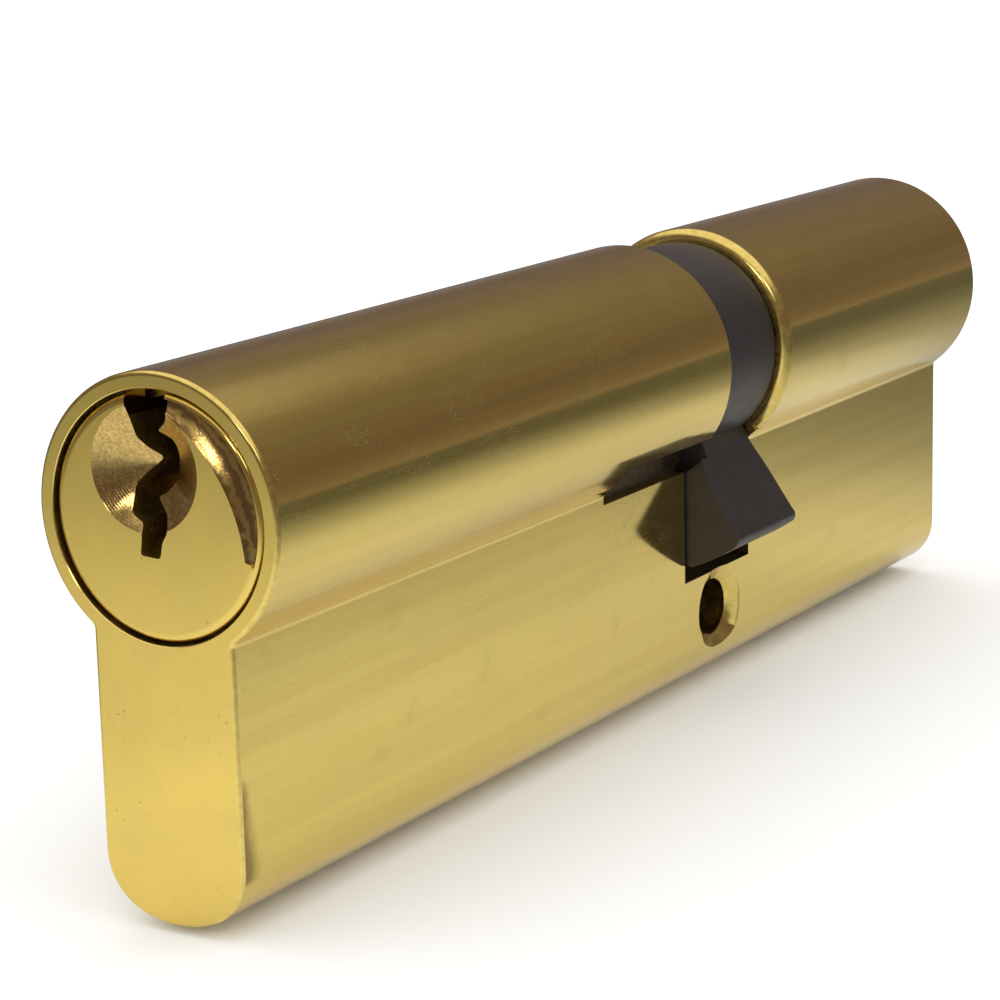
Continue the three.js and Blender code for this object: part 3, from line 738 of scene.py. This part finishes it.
# ---- Materials ----
class Nodes:
    """A short way to wire one material's nodes; self.mm is the object's own coordinates in millimetres."""

    def __init__(self, name):
        self.material = bpy.data.materials.new(name)
        self.material.use_nodes = True
        self.tree = self.material.node_tree
        self.tree.nodes.clear()
        self.output = self.tree.nodes.new("ShaderNodeOutputMaterial")
        self.shader = self.tree.nodes.new("ShaderNodeBsdfPrincipled")
        self.tree.links.new(self.shader.outputs[0], self.output.inputs["Surface"])
        coordinates = self.tree.nodes.new("ShaderNodeTexCoord")
        self.mm = self.vector("SCALE", coordinates.outputs["Object"], scale=1 / MM)

    def set(self, socket, value):
        if hasattr(value, "links"):
            self.tree.links.new(value, socket)
        else:
            socket.default_value = value

    def vector(self, operation, a, b=None, scale=None):
        node = self.tree.nodes.new("ShaderNodeVectorMath")
        node.operation = operation
        self.set(node.inputs[0], a)
        if b is not None:
            self.set(node.inputs[1], b)
        if scale is not None:
            self.set(node.inputs["Scale"], scale)
        return node.outputs[1] if operation in ("LENGTH", "DISTANCE", "DOT_PRODUCT") else node.outputs[0]

    def math(self, operation, a, b=0.0, c=0.0, clamp=False):
        node = self.tree.nodes.new("ShaderNodeMath")
        node.operation = operation
        node.use_clamp = clamp
        for socket, value in zip(node.inputs, (a, b, c)):
            self.set(socket, value)
        return node.outputs[0]

    def noise(self, stretch, scale=1.0, detail=3.0, rough=0.5, distort=0.0, at=None):
        """Noise whose grain is stretch millimetres long each way."""
        place = self.vector("MULTIPLY", at or self.mm, tuple(1 / s for s in stretch))
        node = self.tree.nodes.new("ShaderNodeTexNoise")
        self.set(node.inputs["Vector"], place)
        node.inputs["Scale"].default_value = scale
        node.inputs["Detail"].default_value = detail
        node.inputs["Roughness"].default_value = rough
        node.inputs["Distortion"].default_value = distort
        return node.outputs[0]

    def remap(self, value, low, high, to_low=0.0, to_high=1.0, smooth=True):
        node = self.tree.nodes.new("ShaderNodeMapRange")
        node.interpolation_type = "SMOOTHSTEP" if smooth else "LINEAR"
        node.clamp = True
        for socket, v in zip(node.inputs, (value, low, high, to_low, to_high)):
            self.set(socket, v)
        return node.outputs[0]

    def mix(self, factor, a, b):
        node = self.tree.nodes.new("ShaderNodeMix")
        node.data_type = "RGBA"
        node.clamp_factor = True
        self.set(node.inputs[0], factor)
        self.set(node.inputs[6], (*a, 1) if isinstance(a, tuple) else a)
        self.set(node.inputs[7], (*b, 1) if isinstance(b, tuple) else b)
        return node.outputs[2]

    def split(self, vector):
        node = self.tree.nodes.new("ShaderNodeSeparateXYZ")
        self.set(node.inputs[0], vector)
        return node.outputs

    def turned(self, angles):
        """The millimetre position turned by angles in degrees."""
        node = self.tree.nodes.new("ShaderNodeVectorRotate")
        node.rotation_type = "EULER_XYZ"
        self.set(node.inputs["Vector"], self.mm)
        node.inputs["Rotation"].default_value = [math.radians(a) for a in angles]
        return node.outputs[0]

    def distance_about_y(self, x, z):
        """How far a point is from the line along Y through (x, z)."""
        parts = self.split(self.vector("SUBTRACT", self.mm, (x, 0.0, z)))
        squares = [self.math("MULTIPLY", part, part) for part in (parts[0], parts[2])]
        return self.math("SQRT", self.math("ADD", *squares))

    def scratches(self, angles, width, length, amount):
        """Sparse hairline marks along one direction: 1 on a mark, 0 elsewhere."""
        line = self.noise((width, length, width), detail=1.0, at=self.turned(angles))
        patch = self.noise((2.5, 6.0, 2.5), detail=1.0)
        sharp = self.remap(line, amount, amount + 0.03)
        return self.math("MULTIPLY", sharp, self.remap(patch, 0.5, 0.62))

    def bump(self, height, distance_mm, strength=1.0, normal=None):
        node = self.tree.nodes.new("ShaderNodeBump")
        node.inputs["Strength"].default_value = strength
        node.inputs["Distance"].default_value = distance_mm * MM
        self.set(node.inputs["Height"], height)
        if normal is not None:
            self.set(node.inputs["Normal"], normal)
        return node.outputs[0]

    def finish(self, color, roughness, metallic=1.0, normal=None):
        self.set(self.shader.inputs["Base Color"], (*color, 1) if isinstance(color, tuple) else color)
        self.set(self.shader.inputs["Roughness"], roughness)
        self.shader.inputs["Metallic"].default_value = metallic
        if normal is not None:
            self.set(self.shader.inputs["Normal"], normal)
        return self.material


BRASS_LIGHT = (0.80, 0.62, 0.18)
BRASS_DEEP = (0.73, 0.545, 0.15)
BRASS_WARM = (0.82, 0.60, 0.145)
BRASS_WORN = (0.84, 0.66, 0.21)
BRASS_STAIN = (0.40, 0.27, 0.08)
# Colour of the painted dark reflection beside the body's front edge
BRASS_DARK_REFLECTION = (0.17, 0.105, 0.045)
BRASS_SPOT = (0.2, 0.13, 0.045)
BRASS_SCRATCH = (0.95, 0.82, 0.45)


def dark_reflection_beside_edge(n):
    """Where a dark reflection is painted on the right side: an uneven strip behind the front edge, wider
    towards the foot.
    """
    x, y, z = n.split(n.mm)
    uneven = n.noise((0.7, 1.6, 2.0), detail=3.0)
    from_edge = n.math("ADD", n.math("SUBTRACT", y, FRONT_Y), n.math("MULTIPLY", uneven, 1.6))
    width = n.remap(z, 8.0, -1.0, 0.3, 2.2)
    strip = n.remap(n.math("DIVIDE", from_edge, width), 0.45, 1.35, 0.8, 0.0)
    below_head = n.remap(z, 8.5, 5.0)
    on_right = n.remap(x, WEB_HALF - 0.15, WEB_HALF - 0.03)
    return n.math("MULTIPLY", n.math("MULTIPLY", strip, below_head), on_right)


def drawn_brass():
    """The extruded outside of the body: fine lengthwise drawing lines, handling smudges, hairlines."""
    n = Nodes("drawn_brass")
    fine = n.noise((0.06, 7.0, 0.06), detail=4.0, rough=0.6)
    line = n.noise((0.16, 24.0, 0.16), detail=2.0)
    broad = n.noise((1.3, 60.0, 1.3), detail=2.0)
    grain = n.noise((0.05, 0.1, 0.05), detail=2.0)
    smudge = n.noise((5.0, 6.0, 5.0), detail=4.0, rough=0.6, distort=0.4)
    hair = n.scratches((0, 0, 14), 0.05, 5.0, 0.68)
    nicks = n.scratches((0, 0, -52), 0.09, 1.6, 0.72)
    marks = n.math("MAXIMUM", hair, nicks)
    tone = n.mix(n.remap(broad, 0.35, 0.65, 0.35, 1.0), BRASS_DEEP, BRASS_LIGHT)
    tone = n.mix(n.remap(smudge, 0.6, 0.78, 0, 0.22), tone, BRASS_STAIN)
    tone = n.mix(n.remap(line, 0.6, 0.72, 0, 0.09), tone, BRASS_STAIN)
    tone = n.mix(n.remap(fine, 0.5, 0.75, 0, 0.1), tone, BRASS_STAIN)
    mottle = n.noise((0.35, 0.5, 0.35), detail=4.0, rough=0.65)
    tone = n.mix(n.remap(mottle, 0.5, 0.75, 0, 0.12), tone, BRASS_STAIN)
    # Painted reflection: a dark strip on the right side just behind the front edge.
    tone = n.mix(dark_reflection_beside_edge(n), tone, BRASS_DARK_REFLECTION)
    tone = n.mix(n.math("MULTIPLY", marks, 0.5), tone, BRASS_SCRATCH)
    rough = n.math("ADD", n.remap(fine, 0.3, 0.7, 0.07, 0.13), n.remap(smudge, 0.5, 0.75, 0, 0.07))
    rough = n.math("ADD", rough, n.remap(grain, 0.3, 0.7, -0.01, 0.02))
    relief = n.bump(line, 0.004, 0.4)
    relief = n.bump(fine, 0.0015, 0.4, relief)
    relief = n.bump(marks, -0.006, 0.6, relief)
    return n.finish(tone, rough, normal=relief)


def polished_brass():
    """The end faces: buffed nearly to a mirror, with a faint mottle, stains and a few scratches."""
    n = Nodes("polished_brass")
    mottle = n.noise((0.35, 0.35, 0.35), detail=3.0, rough=0.6)
    haze = n.noise((4.0, 4.0, 5.0), detail=2.0)
    spots = n.noise((0.34, 0.34, 0.42), detail=3.0, rough=0.7)
    spot_area = n.noise((2.6, 2.6, 2.6), detail=1.0)
    spot = n.math("MULTIPLY", n.remap(spots, 0.68, 0.73), n.remap(spot_area, 0.52, 0.6))
    rub = n.scratches((0, 28, 0), 0.07, 2.2, 0.7)
    tone = n.mix(n.remap(haze, 0.3, 0.7, 0.3, 0.9), BRASS_DEEP, BRASS_WARM)
    tone = n.mix(n.remap(mottle, 0.5, 0.75, 0, 0.08), tone, BRASS_STAIN)
    tone = n.mix(n.math("MULTIPLY", spot, 0.85), tone, BRASS_SPOT)
    rough = n.math("ADD", n.remap(haze, 0.3, 0.7, 0.1, 0.15), n.remap(mottle, 0.4, 0.8, 0, 0.03))
    relief = n.bump(mottle, 0.002, 0.3)
    relief = n.bump(n.math("MAXIMUM", spot, rub), -0.008, 0.5, relief)
    return n.finish(tone, rough, normal=relief)


def shaded_recess_brass():
    """Hollow corners: painted shade, a near-black brown standing in for the shade deep inside them."""
    n = Nodes("shaded_recess_brass")
    shade_mottle = n.noise((0.5, 0.8, 0.5), detail=4.0, rough=0.6)
    cutter = n.noise((0.3, 0.08, 0.3), detail=2.0)
    tone = n.mix(n.remap(shade_mottle, 0.35, 0.7), (0.075, 0.055, 0.03), (0.13, 0.095, 0.045))
    rough = n.remap(shade_mottle, 0.3, 0.7, 0.36, 0.5)
    return n.finish(tone, rough, metallic=0.9, normal=n.bump(cutter, 0.008, 0.4))


def grooved_brass(side):
    """The crescent in a plug's face, lined along the cutter's path; side is 1 in front, -1 behind."""
    n = Nodes("grooved_brass")
    x, z = CRESCENT_CENTRE
    radius = n.distance_about_y(x * side, AXIS_Z + z)
    ripple = n.noise((0.7, 0.7, 0.7), detail=3.0)
    lines = n.math("SINE", n.math("ADD", n.math("MULTIPLY", radius, 9.0), n.math("MULTIPLY", ripple, 9.0)))
    fine = n.noise((0.16, 0.16, 0.16), detail=4.0, rough=0.7)
    tone = n.mix(n.remap(lines, -0.4, 1.0), (0.32, 0.205, 0.07), (0.60, 0.42, 0.13))
    tone = n.mix(n.remap(fine, 0.5, 0.75, 0, 0.5), tone, (0.2, 0.11, 0.05))
    relief = n.bump(lines, 0.006, 0.3)
    relief = n.bump(fine, 0.01, 0.35, relief)
    return n.finish(tone, n.remap(fine, 0.3, 0.7, 0.12, 0.22), normal=relief)


def milled_brass():
    """Slots, bores and holes: cutter marks, dull and a little darker."""
    n = Nodes("milled_brass")
    lines = n.noise((0.25, 0.06, 0.25), detail=3.0, rough=0.6)
    blotch = n.noise((1.5, 1.5, 1.5), detail=3.0)
    tone = n.mix(n.remap(blotch, 0.3, 0.7), (0.42, 0.29, 0.085), BRASS_DEEP)
    tone = n.mix(n.remap(lines, 0.55, 0.75, 0, 0.4), tone, BRASS_STAIN)
    rough = n.remap(lines, 0.3, 0.7, 0.26, 0.42)
    return n.finish(tone, rough, normal=n.bump(lines, 0.012, 0.5))


def edge_brass():
    """Rounded edges, rubbed bright by handling."""
    n = Nodes("edge_brass")
    wear = n.noise((0.5, 1.2, 0.5), detail=3.0, rough=0.6)
    tone = n.mix(n.remap(wear, 0.35, 0.7), BRASS_DEEP, BRASS_WORN)
    return n.finish(tone, n.remap(wear, 0.3, 0.7, 0.14, 0.2), normal=n.bump(wear, 0.004, 0.2))


def reamed_brass(side):
    """The key's lead-in: bright, torn by the cone cutter, with fine rings round it."""
    n = Nodes("reamed_brass")
    x, z = FUNNEL_CENTRE
    radius = n.distance_about_y(x * side, AXIS_Z + z)
    rings = n.math("SINE", n.math("MULTIPLY", radius, 42.0))
    torn = n.noise((0.22, 0.22, 0.22), detail=5.0, rough=0.7)
    tear = n.noise((0.09, 0.3, 0.14), detail=3.0, rough=0.6, distort=0.5)
    tone = n.mix(n.remap(torn, 0.35, 0.68), (0.42, 0.28, 0.10), (0.70, 0.50, 0.17))
    rough = n.remap(tear, 0.3, 0.7, 0.12, 0.2)
    relief = n.bump(rings, 0.003, 0.3)
    relief = n.bump(torn, 0.009, 0.4, relief)
    relief = n.bump(tear, 0.004, 0.35, relief)
    return n.finish(tone, rough, normal=relief)


def pin_brass():
    """Turned pins, with fine rings along their length."""
    n = Nodes("pin_brass")
    rings = n.noise((3.0, 3.0, 0.07), detail=3.0)
    tone = n.mix(n.remap(rings, 0.35, 0.7), (0.66, 0.48, 0.15), (0.84, 0.68, 0.29))
    return n.finish(tone, n.remap(rings, 0.3, 0.7, 0.2, 0.34), normal=n.bump(rings, 0.01, 0.4))


def plug_stub_brass():
    """Chamber plugs: punched in, burnished ring, dull middle."""
    n = Nodes("plug_stub_brass")
    dull = n.noise((0.3, 0.3, 0.3), detail=4.0, rough=0.65)
    tone = n.mix(n.remap(dull, 0.35, 0.7), (0.5, 0.35, 0.11), BRASS_LIGHT)
    return n.finish(tone, n.remap(dull, 0.3, 0.7, 0.24, 0.45), normal=n.bump(dull, 0.03, 0.5))


STEEL_LIGHT = (0.098, 0.088, 0.087)
STEEL_DARK = (0.066, 0.058, 0.057)
STEEL_RUBBED = (0.13, 0.125, 0.115)


def sintered_steel():
    """Pressed and sintered steel: a dark, even, finely pored grain with an oily sheen."""
    n = Nodes("sintered_steel")
    pores = n.noise((0.11, 0.11, 0.11), detail=4.0, rough=0.7)
    cloud = n.noise((2.2, 2.2, 2.2), detail=3.0)
    rub = n.scratches((20, 0, 35), 0.12, 2.4, 0.7)
    tone = n.mix(n.remap(pores, 0.35, 0.68), STEEL_DARK, STEEL_LIGHT)
    tone = n.mix(n.remap(cloud, 0.4, 0.7, 0, 0.35), tone, STEEL_LIGHT)
    tone = n.mix(n.math("MULTIPLY", rub, 0.3), tone, STEEL_RUBBED)
    rough = n.math("ADD", n.remap(pores, 0.3, 0.7, 0.36, 0.52), n.remap(cloud, 0.3, 0.7, -0.03, 0.05))
    relief = n.bump(pores, 0.012, 0.5)
    relief = n.bump(rub, -0.01, 0.4, relief)
    return n.finish(tone, rough, metallic=0.85, normal=relief)


def steel_edge():
    """The cam's edges, where its dark skin is rubbed through."""
    n = Nodes("steel_edge")
    wear = n.noise((0.25, 0.25, 0.25), detail=4.0, rough=0.7)
    tone = n.mix(n.remap(wear, 0.35, 0.65), (0.17, 0.155, 0.15), (0.5, 0.45, 0.42))
    return n.finish(tone, n.remap(wear, 0.3, 0.7, 0.3, 0.45), normal=n.bump(wear, 0.02, 0.4))


def spring_steel(name, light, dark):
    """Drawn wire, rod and strip."""
    n = Nodes(name)
    drawn = n.noise((0.12, 0.12, 0.12), detail=4.0, rough=0.6)
    tone = n.mix(n.remap(drawn, 0.35, 0.7), dark, light)
    return n.finish(tone, n.remap(drawn, 0.3, 0.7, 0.22, 0.38), normal=n.bump(drawn, 0.008, 0.4))


# ---- Assembly ----
def show(obj, node, body_name, materials, rule=None, bevel=0.0,
         at=(0.0, 0.0, AXIS_Z), sharp=32.0, edge_material=-1):
    """Finishes a piece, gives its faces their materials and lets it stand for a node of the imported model."""
    mesh = obj.data
    mesh.materials.clear()
    for material in materials:
        mesh.materials.append(material)
    for polygon in mesh.polygons:
        polygon.material_index = rule(polygon.center, polygon.normal) if rule else 0
    obj.name = "look_" + node
    finish_mesh(obj, bevel, sharp, at, edge_material)
    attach(obj, body_name)
    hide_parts(node)
    return obj


DRAWN, POLISHED, MILLED, EDGE, SHADED_RECESS = range(5)
PLUG_POLISHED, PLUG_MILLED, PLUG_REAMED, PLUG_EDGE_FACES, PLUG_GROOVED = range(5)

# How far off a surface a face's centre may be, in millimetres
NEAR = 0.05
# How much of a face's normal points along an axis when it is square to it, or level with it
SQUARE = 0.9
LEVEL = 0.05

# Heights that part the body's outside from its holes
HEAD_LOWEST = -7.0
NECK = (-8.0, -6.2)
WEB_HIGHEST = -6.0
FOOT_ROUND_TOP = -20.5


def in_band(value, band, above=NEAR):
    """Whether value is inside the band, widened by NEAR below and by above on top."""
    return band[0] - NEAR < value < band[1] + above


def body_rule(c, n):
    """The finish of one face of the body, from its centre and its normal."""
    r = math.hypot(c.x, c.z)
    outward = (n.x * c.x + n.z * c.z) > 0

    if abs(n.y) > 0.98 and (c.y < FRONT_Y + 0.01 or c.y > REAR_Y - 0.01):
        return POLISHED
    if c.y < FRONT_Y + END_ROUND or c.y > REAR_Y - END_ROUND:
        return EDGE if abs(n.y) > LEVEL else DRAWN

    # The relief pocket, the web slot's inside and the deep thread get painted shade: a near-black brown for
    # the shade in these hollows.
    beside_relief = in_band(c.z, RELIEF_Z) and in_band(c.y, RELIEF_Y, 0.0)
    if beside_relief and c.x > RELIEF_INNER_X - NEAR and r < HEAD_R - 0.1:
        return SHADED_RECESS
    in_slot = in_band(c.y, WEB_SLOT_Y) and WEB_SLOT_BOTTOM - NEAR < c.z < WEB_SLOT_TOP + 0.5
    if in_slot and (abs(n.y) > SQUARE or n.z > SQUARE):
        return SHADED_RECESS
    from_screw = math.hypot(c.y, c.z + AXIS_Z)
    if from_screw < SCREW_SINK_R + NEAR and abs(c.x) < WEB_HALF - 0.01:
        return EDGE if abs(c.x) > THREAD_REACH else SHADED_RECESS

    if r > HEAD_R - 0.9 and c.z > HEAD_LOWEST and outward and LEVEL < abs(n.y) < 0.999:
        return EDGE
    if r > HEAD_R - NEAR and c.z > HEAD_LOWEST and outward:
        return DRAWN
    if abs(c.x) > WEB_HALF - NEAR and c.z < WEB_HIGHEST and abs(n.x) > SQUARE:
        return DRAWN
    beside_chambers = abs(c.x) > CHAMBER_R + NEAR
    if c.z < FOOT_ROUND_TOP and outward and math.hypot(n.x, n.z) > SQUARE and beside_chambers:
        return DRAWN
    if c.z < FOOT_Z + 0.2 and n.z < -SQUARE:
        return DRAWN
    if abs(c.x) < WEB_HALF + 0.6 and NECK[0] < c.z < NECK[1] and outward and abs(n.y) < LEVEL:
        return DRAWN
    return MILLED


def plug_rule(outer_y, side):
    """Gives the rule for the plug whose face is at outer_y; side is 1 in front, -1 behind."""
    def rule(c, n):
        depth = (c.y - outer_y) * side
        facing = -n.y * side
        x = c.x * side
        r = math.hypot(x, c.z)
        if facing > 0.999 and depth < 0.02:
            return PLUG_POLISHED
        reach = math.hypot(x - FUNNEL_CENTRE[0], c.z - FUNNEL_CENTRE[1])
        if 0.3 < facing < 0.97 and depth < FUNNEL_DEPTH + 0.1 and reach < FUNNEL_R + 0.15:
            return PLUG_REAMED
        past_inner = math.hypot(x - CRESCENT_CENTRE[0], c.z - CRESCENT_CENTRE[1]) - CRESCENT_INNER_R
        before_end = math.atan2(c.z, x) > CRESCENT_SPAN[0] - 0.01
        in_groove = past_inner > -NEAR and r < CRESCENT_OUTER_R + 0.01 and before_end
        if in_groove and depth < CRESCENT_DEPTH + 0.1:
            return PLUG_GROOVED
        if depth > FACE_ROUND[1] and r > FLANGE_R - 0.02:
            return PLUG_MILLED
        return PLUG_POLISHED if r > PLUG_R - 0.1 or (facing > 0.5 and depth < 1.0) else PLUG_MILLED

    return rule


polished, milled, edge = polished_brass(), milled_brass(), edge_brass()


def show_plug(node, outer_y, side, has_rod_bore):
    """Makes the plug whose face is at outer_y; side is 1 in front, -1 behind."""
    plug = make_plug(node + "_blank", (CAM_MID_Y - outer_y) * side, has_rod_bore)
    turn_about_z(plug, 0.0 if side == 1 else math.pi)
    plug.data.transform(Matrix.Translation((0, outer_y, 0)))
    materials = [polished, milled, reamed_brass(side), edge, grooved_brass(side)]
    show(plug, node, node, materials, plug_rule(outer_y, side),
         bevel=PLUG_EDGE, edge_material=PLUG_EDGE_FACES)


body_materials = [drawn_brass(), polished, milled, edge, shaded_recess_brass()]
show(make_body(), "body", "body", body_materials, body_rule)
show_plug("plug_front", FRONT_Y + FACE_RECESS, 1, has_rod_bore=True)
show_plug("plug_rear", REAR_Y - FACE_RECESS, -1, has_rod_bore=False)

sintered = sintered_steel()
show(make_cam(), "cam", "cam", [sintered, steel_edge()],
     bevel=CAM_EDGE, sharp=30.0, edge_material=1)

clip_steel = spring_steel("clip_steel", (0.09, 0.085, 0.08), (0.03, 0.028, 0.027))
middle = (0.0, CAM_MID_Y, AXIS_Z)
show(make_circlip("clip_a", math.pi), "circlip_front", "plug_front",
     [clip_steel], at=middle)
show(make_circlip("clip_b", 0.0), "circlip_rear", "plug_rear",
     [clip_steel], at=middle)
show(make_clutch("half_a", 0.0), "clutch_half_front", "clutch_front",
     [sintered], bevel=CLUTCH_EDGE, at=middle)
show(make_clutch("half_b", math.pi), "clutch_half_rear", "clutch_rear",
     [sintered], bevel=CLUTCH_EDGE, at=(0.0, CAM_MID_Y + CLUTCH_TRAVEL, AXIS_Z))

rod_low, rod_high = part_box("push_rod")
wire_steel = spring_steel("wire_steel", (0.62, 0.61, 0.58), (0.4, 0.39, 0.37))
show(make_rod(rod_low.y / MM, rod_high.y / MM), "push_rod", "push_rod", [wire_steel])

pins, stub = pin_brass(), plug_stub_brass()
shake = random.Random(7)
for side, face_y, inward in (("front", FRONT_Y, 1), ("rear", REAR_Y, -1)):
    for n, y in enumerate(pin_places(face_y, inward), start=1):
        key_pin, driver = f"{side}_key_pin_{n}", f"{side}_driver_pin_{n}"
        place = (0, y, 0)
        show(turned(key_pin_profile(KEY_PIN_LENGTHS[n - 1]), "z", place, PIN_ROUND),
             key_pin, key_pin, [pins])
        show(turned(driver_pin_profile(), "z", place, PIN_ROUND),
             driver, driver, [pins])
        show(turned(chamber_plug_profile(), "z", place, PIN_ROUND),
             f"{side}_chamber_plug_{n}", "body", [stub])
        spring = show(make_spring("coil", y, shake.uniform(0, 2 * math.pi)),
                      f"{side}_pin_spring_{n}", "body", [wire_steel])
        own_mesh(spring)


# ---- Camera, floor and light ----
CAMERA_PLACE = (0.102659, -0.190414, 0.056198)
CAMERA_TURN = (77.4077, 1.3886, 31.1393)
CAMERA_LENS = 107.3
SENSOR_WIDTH = 36


def add_camera():
    """A long lens at the front right, a little above the object."""
    camera = bpy.data.cameras.new("camera")
    camera.lens = CAMERA_LENS
    camera.sensor_width = SENSOR_WIDTH
    camera.clip_start = 0.01
    camera.clip_end = 20
    obj = bpy.data.objects.new("camera", camera)
    obj.location = CAMERA_PLACE
    obj.rotation_euler = [math.radians(a) for a in CAMERA_TURN]
    bpy.context.scene.collection.objects.link(obj)
    bpy.context.scene.camera = obj


# How bright the floor looks in the metal, by the distance from the object's foot in millimetres
POOL = (
    (0, 0.82), (15, 0.78), (26, 0.65), (36, 0.54), (46, 0.41),
    (60, 0.32), (80, 0.25), (120, 0.17), (200, 0.13),
)
POOL_REACH = 200.0
# Ahead of the object, and there on its left, distances count for less, so the pool reaches further
POOL_FRONT_STRETCH = 0.42
POOL_LEFT_STRETCH = 0.4
POOL_AHEAD = (-75, -120)
POOL_LEFT = (5, -15)
# Towards the rear the pool dims to this level
POOL_REAR = (-20, 60)
POOL_REAR_LEVEL = 0.82
FLOOR_HALF = 3.0
FLOOR_GAP = 0.0005
FLOOR_COLOR = (0.9, 0.9, 0.9)


def pool_distance(n):
    """The distance from the object's foot, in millimetres, as the pool of light counts it."""
    x, y, _ = n.split(n.mm)
    side = n.math("MAXIMUM", n.math("SUBTRACT", n.math("ABSOLUTE", x), WEB_HALF), 0.0)
    on_left = n.math("MULTIPLY", n.remap(x, *POOL_LEFT), n.remap(y, *POOL_AHEAD))
    stretch = n.remap(on_left, 0, 1, 1.0, POOL_LEFT_STRETCH, smooth=False)
    side = n.math("MULTIPLY", side, stretch)
    ahead = n.math("MULTIPLY", n.math("SUBTRACT", FRONT_Y, y), POOL_FRONT_STRETCH)
    behind = n.math("SUBTRACT", y, REAR_Y)
    along = n.math("MAXIMUM", n.math("MAXIMUM", ahead, behind), 0.0)
    return n.math("SQRT", n.math("ADD", n.math("MULTIPLY", side, side), n.math("MULTIPLY", along, along)))


def set_stops(ramp, stops):
    """Gives a colour ramp its (position, colour) stops."""
    elements = ramp.color_ramp.elements
    while len(elements) < len(stops):
        elements.new(0.5)
    for element, (position, color) in zip(elements, stops):
        element.position = position
        element.color = (*color, 1)


def add_floor():
    """A plain white card; in reflections its light fades away from the object, as under a low lamp."""
    half, z = FLOOR_HALF, body_low.z - FLOOR_GAP
    mesh = bpy.data.meshes.new("floor")
    corners = [(-half, -half, z), (half, -half, z), (half, half, z), (-half, half, z)]
    mesh.from_pydata(corners, [], [(0, 1, 2, 3)])
    floor = bpy.data.objects.new("floor", mesh)
    bpy.context.scene.collection.objects.link(floor)
    n = Nodes("floor_card")
    ramp = n.tree.nodes.new("ShaderNodeValToRGB")
    n.set(ramp.inputs[0], n.math("DIVIDE", pool_distance(n), POOL_REACH))
    set_stops(ramp, [(far / POOL_REACH, (level, level, level * 0.99)) for far, level in POOL])
    dimming = n.remap(n.split(n.mm)[1], *POOL_REAR, 1.0, POOL_REAR_LEVEL)
    pool = n.vector("SCALE", ramp.outputs[0], scale=dimming)
    path = n.tree.nodes.new("ShaderNodeLightPath")
    n.finish(n.mix(path.outputs["Is Glossy Ray"], FLOOR_COLOR, pool), 0.9, metallic=0.0)
    n.shader.inputs["Specular IOR Level"].default_value = 0.0
    mesh.materials.append(n.material)


# Each lamp's name, its direction from the origin, its width in metres and its radiance
LAMPS = (
    ("lamp", (0.16, -0.88, 0.46), 0.08, 11.0),
    ("window", (0.50, -0.70, 0.52), 0.12, 4.0),
)
LAMP_DISTANCE = 0.6
LAMP_COLOR = (1.0, 0.97, 0.92)


def add_lamp(name, direction, size, radiance):
    """A round, soft lamp that faces the origin."""
    light = bpy.data.lights.new(name, "AREA")
    light.shape = "DISK"
    light.size = size
    light.energy = radiance * math.pi * math.pi * size * size / 4
    light.color = LAMP_COLOR
    obj = bpy.data.objects.new(name, light)
    toward = Vector(direction).normalized()
    obj.location = toward * LAMP_DISTANCE
    obj.rotation_euler = toward.to_track_quat("Z", "Y").to_euler()
    bpy.context.scene.collection.objects.link(obj)


# What the metal sees, from the horizon up: a dim room, then the overhead light
ROOM = (
    (0.00, (0.27, 0.215, 0.205)),
    (0.08, (0.20, 0.160, 0.155)),
    (0.22, (0.165, 0.125, 0.125)),
    (0.38, (0.20, 0.160, 0.155)),
    (0.50, (0.22, 0.185, 0.17)),
    (0.57, (0.29, 0.25, 0.23)),
    (0.64, (0.52, 0.47, 0.43)),
    (0.72, (1.05, 1.0, 0.94)),
)
OPEN_LIGHT = 1.3


def add_world():
    """White light all round for the floor; the metal reflects a dim room under an overhead light."""
    world = bpy.data.worlds.new("studio")
    bpy.context.scene.world = world
    world.use_nodes = True
    tree = world.node_tree
    background = tree.nodes["Background"]
    coordinates = tree.nodes.new("ShaderNodeTexCoord")
    parts = tree.nodes.new("ShaderNodeSeparateXYZ")
    tree.links.new(coordinates.outputs["Generated"], parts.inputs[0])
    ramp = tree.nodes.new("ShaderNodeValToRGB")
    tree.links.new(parts.outputs["Z"], ramp.inputs[0])
    set_stops(ramp, ROOM)
    path = tree.nodes.new("ShaderNodeLightPath")
    mix = tree.nodes.new("ShaderNodeMix")
    mix.data_type = "RGBA"
    tree.links.new(path.outputs["Is Glossy Ray"], mix.inputs[0])
    mix.inputs[6].default_value = (OPEN_LIGHT, OPEN_LIGHT, OPEN_LIGHT, 1)
    tree.links.new(ramp.outputs[0], mix.inputs[7])
    tree.links.new(mix.outputs[2], background.inputs["Color"])


add_camera()
add_floor()
add_world()
for lamp in LAMPS:
    add_lamp(*lamp)
bpy.context.scene.view_settings.view_transform = "Standard"
